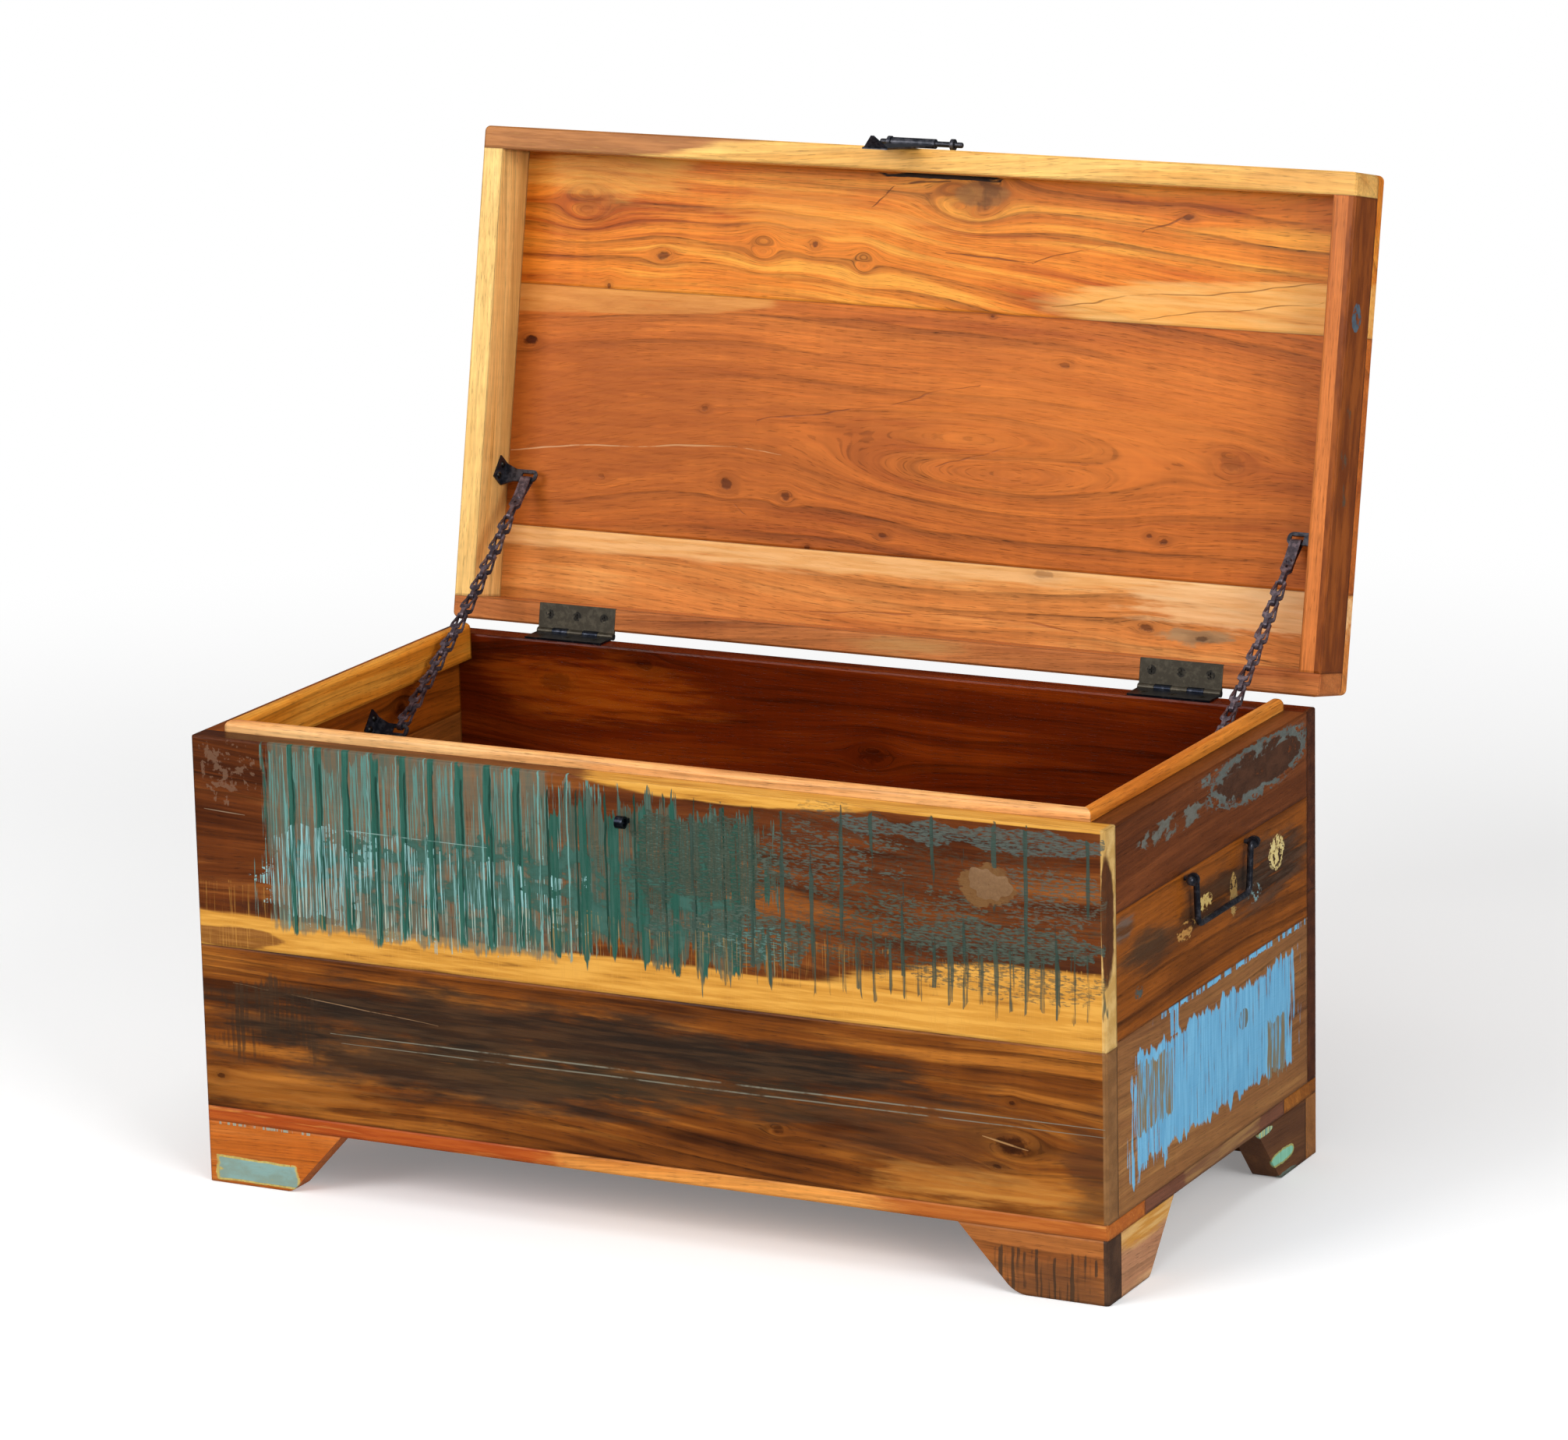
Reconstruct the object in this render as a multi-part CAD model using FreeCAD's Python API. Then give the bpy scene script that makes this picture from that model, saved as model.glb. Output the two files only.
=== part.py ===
"""Storage chest of reclaimed boards on bracket feet, with a framed lid standing open on two chains.

Lengths are in millimetres and angles in degrees. X runs to the right, Y to the back and Z up.
The chest stands on Z = 0, and X = 0 is its middle plane. The lid is drawn shut and then swung open.
"""
import FreeCAD, Part
import math
import os
from FreeCAD import Rotation, Vector

# Box of the chest
box_width = 800.0
box_depth = 420.0
wall_thickness = 20.0
front_lower_board_height = 136.0
front_upper_board_height = 173.5
back_lower_board_height = 160.0
side_lower_board_height = 139.5
side_middle_board_height = 100.5
box_corner_round = 3.0
box_top_round = 1.5
base_strip_height = 12.5
base_strip_width = 70.0
bottom_thickness = 9.0
bottom_gap = 0.5

# Bracket feet
foot_height = 52.0
foot_length = 126.0
foot_tread_length = 78.0
foot_thickness = 24.0
foot_toe_round = 9.0
worn_toe_round = 24.0

# Lip strips inside the front and side walls, which the shut lid drops over
lip_thickness = 12.0
lip_height = 31.0
lip_rise = 9.0
lip_round = 5.0

# Lid
lid_rail_thickness = 19.0
lid_rail_depth = 48.0
lid_board_thickness = 14.0
lid_front_overhang = 2.0
lid_rear_board_width = 82.0
lid_middle_board_width = 208.0
lid_corner_round = 5.0
lid_edge_round = 3.0
lid_rim_round = 2.0
lid_open_angle = 101.5

# Butt hinges
hinge_length = 73.0
hinge_spacing = 558.0
hinge_leaf_width = 24.0
hinge_leaf_thickness = 1.8
hinge_leaf_gap = 0.4
hinge_setback = 4.5
hinge_barrel_radius = 3.0
hinge_pin_radius = 1.6
hinge_knuckle_count = 5
hinge_knuckle_gap = 0.3
hinge_barrel_gap = 0.4
hinge_screw_spacing = 26.0
hinge_screw_offset = 14.5
mortise_gap = 0.2

# Countersunk screws of the hinges
leaf_screw_head_radius = 4.0
leaf_screw_head_depth = 2.2
leaf_screw_radius = 1.8
leaf_screw_length = 16.0
leaf_screw_recess_span = 4.4
leaf_screw_recess_width = 0.8
leaf_screw_recess_depth = 1.2

# Domed screws of the chain brackets
bracket_screw_head_radius = 3.2
bracket_screw_head_height = 1.8
bracket_screw_radius = 1.5
bracket_screw_length = 12.0
bracket_screw_spacing = 11.0
bracket_screw_recess_span = 3.6
bracket_screw_recess_width = 0.7
bracket_screw_recess_depth = 1.0
screw_point_length = 3.0

# Chain brackets, bent from strip, one leg on the wood and one tongue with a slot
bracket_length = 21.0
bracket_leg_height = 15.0
bracket_thickness = 1.5
bracket_slope = 48.0
bracket_slot_length = 11.0
bracket_slot_width = 5.0
bracket_bar_width = 3.4
bracket_neck_length = 12.0
bracket_end_round = 5.0
bracket_neck_round = 6.0
chain_inset = 43.5
box_eye_setback = 47.0
box_eye_height = 326.0
lid_eye_setback = 125.5
lid_eye_height = 36.4

# Chains of folded strip links, each with a waist folded round the next link's end bar
chain_link_count = 11
chain_strip_thickness = 1.2
chain_strip_width = 9.0
chain_waist_width = 3.6
chain_fold_radius = 2.2
chain_waist_length = 4.0
chain_shoulder_length = 6.0
chain_belly_place = 9.5
chain_belly_swell = 0.7
chain_closing_length = 4.0
chain_bar_width = 2.4
chain_leg_gap = 0.3
chain_window_width = 5.0
chain_window_length = 12.0
chain_corner_round = 1.2
chain_open_setback = 0.7
strap_length = 40.0
strap_width = 9.6
strap_waist_length = 8.5
strap_shoulder_length = 11.0
strap_rivet_place = 20.5
strap_pinch_length = 6.0
strap_rivet_radius = 1.5
strap_rivet_head_radius = 2.6
strap_rivet_head_height = 1.1
strap_hole_place = 14.5
strap_hole_radius = 1.3
link_tilts = [-7.0, -2.0, -6.0, -0.5, -5.0, 1.5, -2.0, 3.5, 1.5, 6.5, 3.0]
strap_tilt = 2.5

# Hasp on the front of the lid
hasp_height = 26.0
hasp_reach = 5.2
hasp_rod_radius = 2.4
hasp_rod_length = 76.0
hasp_rod_end_round = 1.4
hasp_eye_spacing = 58.0
hasp_eye_radius = 4.9
hasp_eye_width = 3.0
hasp_eye_shank_radius = 1.5
hasp_eye_shank_length = 13.0
hasp_plate_thickness = 1.6
hasp_barrel_length = 40.0
hasp_shoulder_length = 9.0
hasp_plate_seat = 2.4
hasp_plate_length = 74.0
hasp_end_width = 23.0
hasp_point_length = 13.0
hasp_point_width = 3.0
hasp_point_bend = 55.0
hasp_slot_width = 9.6
hasp_slot_length = 15.0
hasp_rest_gap = 0.3
latch_offset = -5.7
hasp_offset = 1.2

# Lock staple on the front board
staple_drop = 31.5
staple_reach = 8.0
staple_outer_radius = 5.0
staple_bore_radius = 3.25
staple_width = 7.0
staple_tail_thickness = 3.6
staple_tail_depth = 12.0

# Bail handles
handle_height = 299.5
handle_reach = 7.5
handle_bar_radius = 2.5
handle_pin_radius = 2.2
handle_eye_spacing = 120.0
handle_shoulder_width = 109.0
handle_grip_width = 102.0
handle_drop = 38.5
handle_corner_radius = 7.0
handle_shoulder_radius = 3.4
handle_ball_radius = 3.7
handle_ball_gap = 0.4
handle_eye_radius = 5.0
handle_eye_width = 3.2
handle_eye_shank_radius = 1.8
handle_eye_shank_length = 14.0

# Running clearances and seats
running_gap = 0.08
seat_gap = 0.05
cut_overrun = 5.0
slack_share = 0.001

# Heights and depths of the box
strip_top = foot_height + base_strip_height
wall_height = front_lower_board_height + front_upper_board_height
wall_top = strip_top + wall_height
half_width = box_width / 2
half_depth = box_depth / 2
lip_top = wall_top + lip_rise

# The hinge pins lie behind the back wall, level with the gap between the leaves
hinge_z = wall_top + hinge_leaf_thickness + hinge_leaf_gap / 2
rim_z = hinge_z + hinge_leaf_gap / 2
lid_rail_top = rim_z + lid_rail_depth
lid_top = lid_rail_top + lid_board_thickness
lid_depth = box_depth + lid_front_overhang


def swung_open(y, z):
    """Offset from the hinge pins of a point of the shut lid once the lid stands open."""
    turn = math.radians(lid_open_angle)
    return (y * math.cos(turn) + z * math.sin(turn), z * math.cos(turn) - y * math.sin(turn))


# The origin is the middle of the footprint of the whole chest with its lid open:
# the staple is the foremost point, and the rounded front edge of the lid's top is the rearmost.
corner_y = lid_edge_round - lid_depth - hinge_setback
corner_z = lid_top - lid_edge_round - hinge_z
rear_reach = half_depth + hinge_setback + swung_open(corner_y, corner_z)[0] + lid_edge_round
front_reach = half_depth + staple_reach + staple_outer_radius
middle_y = (front_reach - rear_reach) / 2
front_y = middle_y - half_depth
back_y = middle_y + half_depth
hinge_y = back_y + hinge_setback
lid_front_y = front_y - lid_front_overhang


def block(x0, x1, y0, y1, z0, z1):
    """Box between two corners."""
    return Part.makeBox(x1 - x0, y1 - y0, z1 - z0, Vector(x0, y0, z0))


def cylinder(radius, start, way, length):
    """Cylinder from a start point along a way."""
    return Part.makeCylinder(radius, length, start, way)


def export(node, shapes):
    """Writes one STEP file with the solids of one node."""
    solids = []
    for shape in shapes:
        solids.extend(shape.Solids)
    for solid in solids:
        if not solid.isValid():
            print("invalid solid in", node)
    whole = solids[0] if len(solids) == 1 else Part.makeCompound(solids)
    whole.exportStep("parts/" + node + ".step")


def opened(shape):
    """The shape swung with the lid from shut to open about the hinge pins."""
    moved = shape.copy()
    moved.rotate(Vector(0, hinge_y, hinge_z), Vector(1, 0, 0), -lid_open_angle)
    return moved


def mirrored(shape):
    """The shape on the other side of the middle plane."""
    return shape.mirror(Vector(0, 0, 0), Vector(1, 0, 0))


def aimed(shape, place, way):
    """A shape drawn along +Z, turned to point along a way and moved to its place."""
    moved = shape.copy()
    moved.Placement = FreeCAD.Placement(place, Rotation(Vector(0, 0, 1), way))
    return moved


def extruded(points, depth):
    """Prism on a closed outline."""
    return Part.Face(Part.makePolygon(points + [points[0]])).extrude(depth)


def edges_along(shape, way, where):
    """Straight edges of a shape that run along a way and whose middle passes a test."""
    found = []
    for edge in shape.Edges:
        start, end = edge.Vertexes[0].Point, edge.Vertexes[-1].Point
        run = end - start
        straight = run.Length > 0 and run.cross(way).Length < run.Length * slack_share
        if straight and where((start + end) / 2):
            found.append(edge)
    return found


def edges_at_height(shape, height):
    """Edges of a shape that lie level at a height."""
    slack = box_top_round * slack_share
    return [edge for edge in shape.Edges if max(abs(v.Z - height) for v in edge.Vertexes) < slack]


def anywhere(_):
    """Accepts every place."""
    return True


# Envelopes that round the outer corners of the box and of the lid
box_form = block(-half_width, half_width, front_y, back_y, foot_height, wall_top)
box_form = box_form.makeFillet(box_corner_round, edges_along(box_form, Vector(0, 0, 1), anywhere))
box_form = box_form.makeFillet(box_top_round, edges_at_height(box_form, wall_top))
lid_form = block(-half_width, half_width, lid_front_y, back_y, rim_z, lid_top)
lid_form = lid_form.makeFillet(lid_corner_round, edges_along(lid_form, Vector(0, 0, 1), anywhere))
lid_form = lid_form.makeFillet(lid_edge_round, edges_at_height(lid_form, lid_top))
lid_form = lid_form.makeFillet(lid_rim_round, edges_at_height(lid_form, rim_z))


def screw_profile(head, radius, length):
    """Half outline of a screw below its head, closed along its own axis."""
    tail = [Vector(radius, 0, screw_point_length - length), Vector(0, 0, -length)]
    return head + tail


def countersunk_screw(grow):
    """Flat-headed screw with its face at Z = 0 and a cross recess, or with grow its hole."""
    head_radius = leaf_screw_head_radius + grow
    radius = leaf_screw_radius + grow
    length = leaf_screw_length + grow
    head = [Vector(0, 0, 0), Vector(head_radius, 0, 0), Vector(radius, 0, -leaf_screw_head_depth)]
    outline = screw_profile(head, radius, length)
    half_section = Part.Face(Part.makePolygon(outline + [outline[0]]))
    body = half_section.revolve(Vector(0, 0, 0), Vector(0, 0, 1), 360)
    if grow > 0:
        way_in = cylinder(head_radius, Vector(0, 0, 0), Vector(0, 0, 1), cut_overrun)
        return body.fuse(way_in).removeSplitter()
    recess = cross_recess(leaf_screw_recess_span, leaf_screw_recess_width, leaf_screw_recess_depth, 0)
    return body.cut(recess)


def domed_screw(grow):
    """Round-headed screw that seats at Z = 0 and has a cross recess, or with grow its hole."""
    radius = bracket_screw_radius + grow
    length = bracket_screw_length + grow
    if grow > 0:
        outline = screw_profile([Vector(0, 0, 0), Vector(radius, 0, 0)], radius, length)
        hole = Part.Face(Part.makePolygon(outline + [outline[0]]))
        hole = hole.revolve(Vector(0, 0, 0), Vector(0, 0, 1), 360)
        way_in = cylinder(radius, Vector(0, 0, 0), Vector(0, 0, 1), cut_overrun)
        return hole.fuse(way_in).removeSplitter()
    rise, reach = bracket_screw_head_height, bracket_screw_head_radius
    dome_radius = (rise ** 2 + reach ** 2) / (2 * rise)
    shoulder = reach * math.cos(math.radians(45))
    shoulder_height = rise - dome_radius + math.sqrt(dome_radius ** 2 - shoulder ** 2)
    dome = Part.Arc(Vector(0, 0, rise), Vector(shoulder, 0, shoulder_height), Vector(reach, 0, 0)).toShape()
    below = [Vector(reach, 0, 0), Vector(radius, 0, 0), Vector(radius, 0, screw_point_length - length)]
    below = below + [Vector(0, 0, -length), Vector(0, 0, rise)]
    outline = Part.Wire([dome] + Part.makePolygon(below).Edges)
    body = Part.Face(outline).revolve(Vector(0, 0, 0), Vector(0, 0, 1), 360)
    recess = cross_recess(bracket_screw_recess_span, bracket_screw_recess_width,
                          bracket_screw_recess_depth, bracket_screw_head_height)
    return body.cut(recess)


def cross_recess(span, width, depth, top):
    """Two crossed slots, sunk from the top of a screw's head."""
    arm = block(-span / 2, span / 2, -width / 2, width / 2, top - depth, top + cut_overrun)
    other = block(-width / 2, width / 2, -span / 2, span / 2, top - depth, top + cut_overrun)
    return arm.fuse(other)


# Screws of the hinges: places and ways of those in the back wall, and of those in the shut lid
hinge_middles = [-hinge_spacing / 2, hinge_spacing / 2]
leaf_screw_shape = countersunk_screw(0)
leaf_screw_hole = countersunk_screw(seat_gap)
box_leaf_top = wall_top + hinge_leaf_thickness
leaf_screw_y = hinge_y - hinge_screw_offset
box_leaf_screw_places = []
lid_leaf_screw_places = []
for middle in hinge_middles:
    for step in (-1, 0, 1):
        screw_x = middle + step * hinge_screw_spacing
        box_leaf_screw_places.append(Vector(screw_x, leaf_screw_y, box_leaf_top))
        lid_leaf_screw_places.append(Vector(screw_x, leaf_screw_y, rim_z))
box_leaf_screws = [aimed(leaf_screw_shape, place, Vector(0, 0, 1)) for place in box_leaf_screw_places]
box_leaf_holes = [aimed(leaf_screw_hole, place, Vector(0, 0, 1)) for place in box_leaf_screw_places]
lid_leaf_screws = [aimed(leaf_screw_shape, place, Vector(0, 0, -1)) for place in lid_leaf_screw_places]
lid_leaf_holes = [aimed(leaf_screw_hole, place, Vector(0, 0, -1)) for place in lid_leaf_screw_places]


def hinge_leaf(middle, below):
    """One leaf with its knuckles, below or above the gap between the two leaves."""
    knuckle_length = hinge_length / hinge_knuckle_count
    left = middle - hinge_length / 2
    inner = hinge_leaf_gap / 2
    low = -inner - hinge_leaf_thickness if below else inner
    leaf = block(left, left + hinge_length, hinge_y - hinge_leaf_width, hinge_y,
                 hinge_z + low, hinge_z + low + hinge_leaf_thickness)
    holes = box_leaf_holes if below else lid_leaf_holes
    for index in range(hinge_knuckle_count):
        start = Vector(left + index * knuckle_length, hinge_y, hinge_z)
        if (index % 2 == 1) == below:
            trim_low = hinge_knuckle_gap / 2 if index > 0 else 0
            trim_high = hinge_knuckle_gap / 2 if index < hinge_knuckle_count - 1 else 0
            knuckle = cylinder(hinge_barrel_radius, start + Vector(trim_low, 0, 0), Vector(1, 0, 0),
                               knuckle_length - trim_low - trim_high)
            leaf = leaf.fuse(knuckle)
        else:
            notch_start = start - Vector(hinge_knuckle_gap / 2, 0, 0)
            notch = cylinder(hinge_barrel_radius + hinge_barrel_gap, notch_start, Vector(1, 0, 0),
                             knuckle_length + hinge_knuckle_gap)
            leaf = leaf.cut(notch)
    bore_start = Vector(left - cut_overrun, hinge_y, hinge_z)
    bore = cylinder(hinge_pin_radius + running_gap, bore_start, Vector(1, 0, 0),
                    hinge_length + 2 * cut_overrun)
    leaf = leaf.cut(bore)
    for hole in holes:
        leaf = leaf.cut(hole)
    return leaf


# Lock staple: a ring of strip whose tail goes into the front board
staple_z = wall_top - staple_drop
staple_centre = Vector(latch_offset, front_y - staple_reach, staple_z)
staple_left = Vector(latch_offset - staple_width / 2, front_y - staple_reach, staple_z)
staple_ring = cylinder(staple_outer_radius, staple_left, Vector(1, 0, 0), staple_width)
staple_tail = block(latch_offset - staple_width / 2, latch_offset + staple_width / 2,
                    front_y - staple_reach + staple_bore_radius, front_y + staple_tail_depth,
                    staple_z - staple_tail_thickness / 2, staple_z + staple_tail_thickness / 2)
staple_bore = cylinder(staple_bore_radius, staple_left - Vector(cut_overrun, 0, 0), Vector(1, 0, 0),
                       staple_width + 2 * cut_overrun)
staple = staple_ring.fuse(staple_tail).cut(staple_bore).removeSplitter()
staple_seat = block(latch_offset - staple_width / 2 - seat_gap, latch_offset + staple_width / 2 + seat_gap,
                    front_y - cut_overrun, front_y + staple_tail_depth + seat_gap,
                    staple_z - staple_tail_thickness / 2 - seat_gap,
                    staple_z + staple_tail_thickness / 2 + seat_gap)


# Chain brackets. In the drawing plane X leads away from the wood, Y along the bend and Z up the leg.
bracket_slot_place = chain_inset - wall_thickness
bracket_eye_offset = (bracket_slot_width + bracket_bar_width) / 2


def bracket_drawing(slot_place):
    """Chain bracket on the plane X = 0, with its tongue's slot at a distance from the wood."""
    half_root = bracket_length / 2
    half_end = bracket_slot_width / 2 + bracket_bar_width
    half_thick = bracket_thickness / 2
    end = slot_place + bracket_slot_length / 2 + bracket_bar_width
    outline = [Vector(0, -half_root, -half_thick), Vector(bracket_thickness, -half_root, -half_thick),
               Vector(bracket_neck_length, -half_end, -half_thick), Vector(end, -half_end, -half_thick),
               Vector(end, half_end, -half_thick), Vector(bracket_neck_length, half_end, -half_thick),
               Vector(bracket_thickness, half_root, -half_thick), Vector(0, half_root, -half_thick)]
    tongue = extruded(outline, Vector(0, 0, bracket_thickness))
    far = (end + bracket_neck_length) / 2
    tongue = tongue.makeFillet(bracket_end_round, edges_along(tongue, Vector(0, 0, 1), lambda p: p.x > far))
    neck = edges_along(tongue, Vector(0, 0, 1), lambda p: abs(p.x - bracket_neck_length) < bracket_thickness)
    tongue = tongue.makeFillet(bracket_neck_round, neck)
    slot = block(slot_place - bracket_slot_length / 2, slot_place + bracket_slot_length / 2,
                 -bracket_slot_width / 2, bracket_slot_width / 2, -cut_overrun, cut_overrun)
    leg = block(0, bracket_thickness, -half_root, half_root, -half_thick, bracket_leg_height - half_thick)
    bracket = tongue.cut(slot).fuse(leg)
    for place in bracket_screw_seats():
        bracket = bracket.cut(aimed(domed_hole, place, Vector(1, 0, 0)))
    return bracket


def bracket_screw_seats():
    """Seats of a bracket's two screws on its leg, in the drawing."""
    height = bracket_leg_height / 2
    return [Vector(bracket_thickness, side * bracket_screw_spacing / 2, height) for side in (-1, 1)]


domed_shape = domed_screw(0)
domed_hole = domed_screw(seat_gap)


def placed_bracket(shape, wood_x, eye_y, eye_z, eye_side):
    """A drawn shape turned to the slope and moved, so that the eye bar's middle is at the eye."""
    moved = shape.copy()
    moved.translate(Vector(0, -eye_side * bracket_eye_offset, 0))
    moved.rotate(Vector(0, 0, 0), Vector(1, 0, 0), bracket_slope)
    moved.translate(Vector(wood_x, eye_y, eye_z))
    return moved


def bracket_set(wood_x, slot_place, eye_y, eye_z, eye_side):
    """Left and right bracket, their screws, and the holes of these in the wood."""
    screws = [aimed(domed_shape, seat, Vector(1, 0, 0)) for seat in bracket_screw_seats()]
    holes = [aimed(domed_hole, seat, Vector(1, 0, 0)) for seat in bracket_screw_seats()]
    place = (wood_x, eye_y, eye_z, eye_side)
    left = placed_bracket(bracket_drawing(slot_place), *place)
    left_screws = [placed_bracket(screw, *place) for screw in screws]
    left_holes = [placed_bracket(hole, *place) for hole in holes]
    both = [left, mirrored(left)]
    both_screws = left_screws + [mirrored(screw) for screw in left_screws]
    both_holes = left_holes + [mirrored(hole) for hole in left_holes]
    return both, both_screws, both_holes


box_eye_y = middle_y + box_eye_setback
box_eye_z = box_eye_height
lid_eye_offset = swung_open(-lid_eye_setback, lid_eye_height)
lid_eye_y = hinge_y + lid_eye_offset[0]
lid_eye_z = hinge_z + lid_eye_offset[1]
box_brackets, box_bracket_screws, box_bracket_holes = bracket_set(
    wall_thickness - half_width, chain_inset - wall_thickness, box_eye_y, box_eye_z, 1)
lid_brackets, lid_bracket_screws, lid_bracket_holes = bracket_set(
    lid_rail_thickness - half_width, chain_inset - lid_rail_thickness, lid_eye_y, lid_eye_z, -1)


# Bail handles and their eyes
def handle_eye(side):
    """Eye pin on the right side wall, at the front or at the back end of the handle."""
    eye_y = middle_y + side * handle_eye_spacing / 2
    start = Vector(half_width + handle_reach, eye_y - handle_eye_width / 2, handle_height)
    ring = cylinder(handle_eye_radius, start, Vector(0, 1, 0), handle_eye_width)
    root = Vector(half_width + handle_reach - handle_pin_radius - running_gap, eye_y, handle_height)
    length = handle_reach + handle_eye_shank_length - handle_pin_radius - running_gap
    shank = cylinder(handle_eye_shank_radius, root, Vector(-1, 0, 0), length)
    bore = cylinder(handle_pin_radius + running_gap, start - Vector(0, cut_overrun, 0), Vector(0, 1, 0),
                    handle_eye_width + 2 * cut_overrun)
    return ring.fuse(shank).cut(bore)


def handle_eye_seat(side):
    """Hole in the right side wall for an eye pin's shank."""
    start = Vector(half_width + cut_overrun, middle_y + side * handle_eye_spacing / 2, handle_height)
    length = cut_overrun + handle_eye_shank_length + seat_gap
    return cylinder(handle_eye_shank_radius + seat_gap, start, Vector(-1, 0, 0), length)


def rounded_path(points, radii):
    """Wire of straight runs with a tangent arc at each inner point."""
    edges = []
    start = points[0]
    for index in range(1, len(points) - 1):
        corner = points[index]
        back = (points[index - 1] - corner).normalize()
        ahead = (points[index + 1] - corner).normalize()
        half_angle = back.getAngle(ahead) / 2
        reach = radii[index - 1] / math.tan(half_angle)
        bisector = (back + ahead).normalize()
        middle = corner + bisector * (radii[index - 1] / math.sin(half_angle) - radii[index - 1])
        arc_start = corner + back * reach
        arc_end = corner + ahead * reach
        edges.append(Part.LineSegment(start, arc_start).toShape())
        edges.append(Part.Arc(arc_start, middle, arc_end).toShape())
        start = arc_end
    edges.append(Part.LineSegment(start, points[-1]).toShape())
    return Part.Wire(edges)


def handle_bail():
    """Round bar of the right handle, hanging in its eyes, with a ball outside each eye."""
    x = half_width + handle_reach
    half_eyes = handle_eye_spacing / 2
    pin_end = half_eyes + handle_eye_width / 2 + handle_ball_gap
    inner = handle_shoulder_width / 2
    low = handle_height - handle_drop
    points = [Vector(x, middle_y - half_eyes, handle_height), Vector(x, middle_y - inner, handle_height),
              Vector(x, middle_y - handle_grip_width / 2, low),
              Vector(x, middle_y + handle_grip_width / 2, low),
              Vector(x, middle_y + inner, handle_height), Vector(x, middle_y + half_eyes, handle_height)]
    radii = [handle_shoulder_radius, handle_corner_radius, handle_corner_radius, handle_shoulder_radius]
    path = rounded_path(points, radii)
    section = Part.Wire(Part.makeCircle(handle_bar_radius, points[0], Vector(0, 1, 0)))
    bar = path.makePipeShell([section], True, False)
    eye_room = half_eyes - handle_eye_width / 2 - handle_ball_gap
    for side in (-1, 1):
        near, far = sorted((middle_y + side * eye_room, middle_y + side * (half_eyes + cut_overrun)))
        bar = bar.cut(block(x - cut_overrun, x + cut_overrun, near, far,
                            handle_height - cut_overrun, handle_height + cut_overrun))
        pin_start = Vector(x, middle_y + side * (eye_room - seat_gap), handle_height)
        bar = bar.fuse(cylinder(handle_pin_radius, pin_start, Vector(0, side, 0), pin_end - eye_room))
        ball_rise = math.sqrt(handle_ball_radius ** 2 - handle_pin_radius ** 2)
        ball_middle = Vector(x, middle_y + side * (pin_end + ball_rise - seat_gap), handle_height)
        ball = Part.makeSphere(handle_ball_radius, ball_middle)
        bar = bar.fuse(ball)
    return bar


# Hasp: its eyes, rod and plate are drawn on the shut lid, and the plate hangs along -Z
hasp_y = lid_front_y - hasp_reach
hasp_z = rim_z + hasp_height
hasp_barrel_radius = hasp_rod_radius + running_gap + hasp_plate_thickness


def hasp_eye(side):
    """Eye pin on the front rail of the lid."""
    x = hasp_offset + side * hasp_eye_spacing / 2
    start = Vector(x - hasp_eye_width / 2, hasp_y, hasp_z)
    ring = cylinder(hasp_eye_radius, start, Vector(1, 0, 0), hasp_eye_width)
    root = Vector(x, hasp_y + hasp_rod_radius + seat_gap, hasp_z)
    length = hasp_reach - hasp_rod_radius - seat_gap + hasp_eye_shank_length
    shank = cylinder(hasp_eye_shank_radius, root, Vector(0, 1, 0), length)
    bore = cylinder(hasp_rod_radius + seat_gap, start - Vector(cut_overrun, 0, 0), Vector(1, 0, 0),
                    hasp_eye_width + 2 * cut_overrun)
    return ring.fuse(shank).cut(bore)


def hasp_eye_seat(side):
    """Hole in the front rail for an eye pin's shank."""
    start = Vector(hasp_offset + side * hasp_eye_spacing / 2, lid_front_y - cut_overrun, hasp_z)
    length = cut_overrun + hasp_eye_shank_length + seat_gap
    return cylinder(hasp_eye_shank_radius + seat_gap, start, Vector(0, 1, 0), length)


def hasp_rod():
    """Round rod with softened ends."""
    start = Vector(hasp_offset - hasp_rod_length / 2, hasp_y, hasp_z)
    rod = cylinder(hasp_rod_radius, start, Vector(1, 0, 0), hasp_rod_length)
    reach = hasp_rod_length / 2 - seat_gap
    rims = [edge for edge in rod.Edges if abs(edge.BoundBox.Center.x - hasp_offset) > reach]
    return rod.makeFillet(hasp_rod_end_round, rims)


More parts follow.
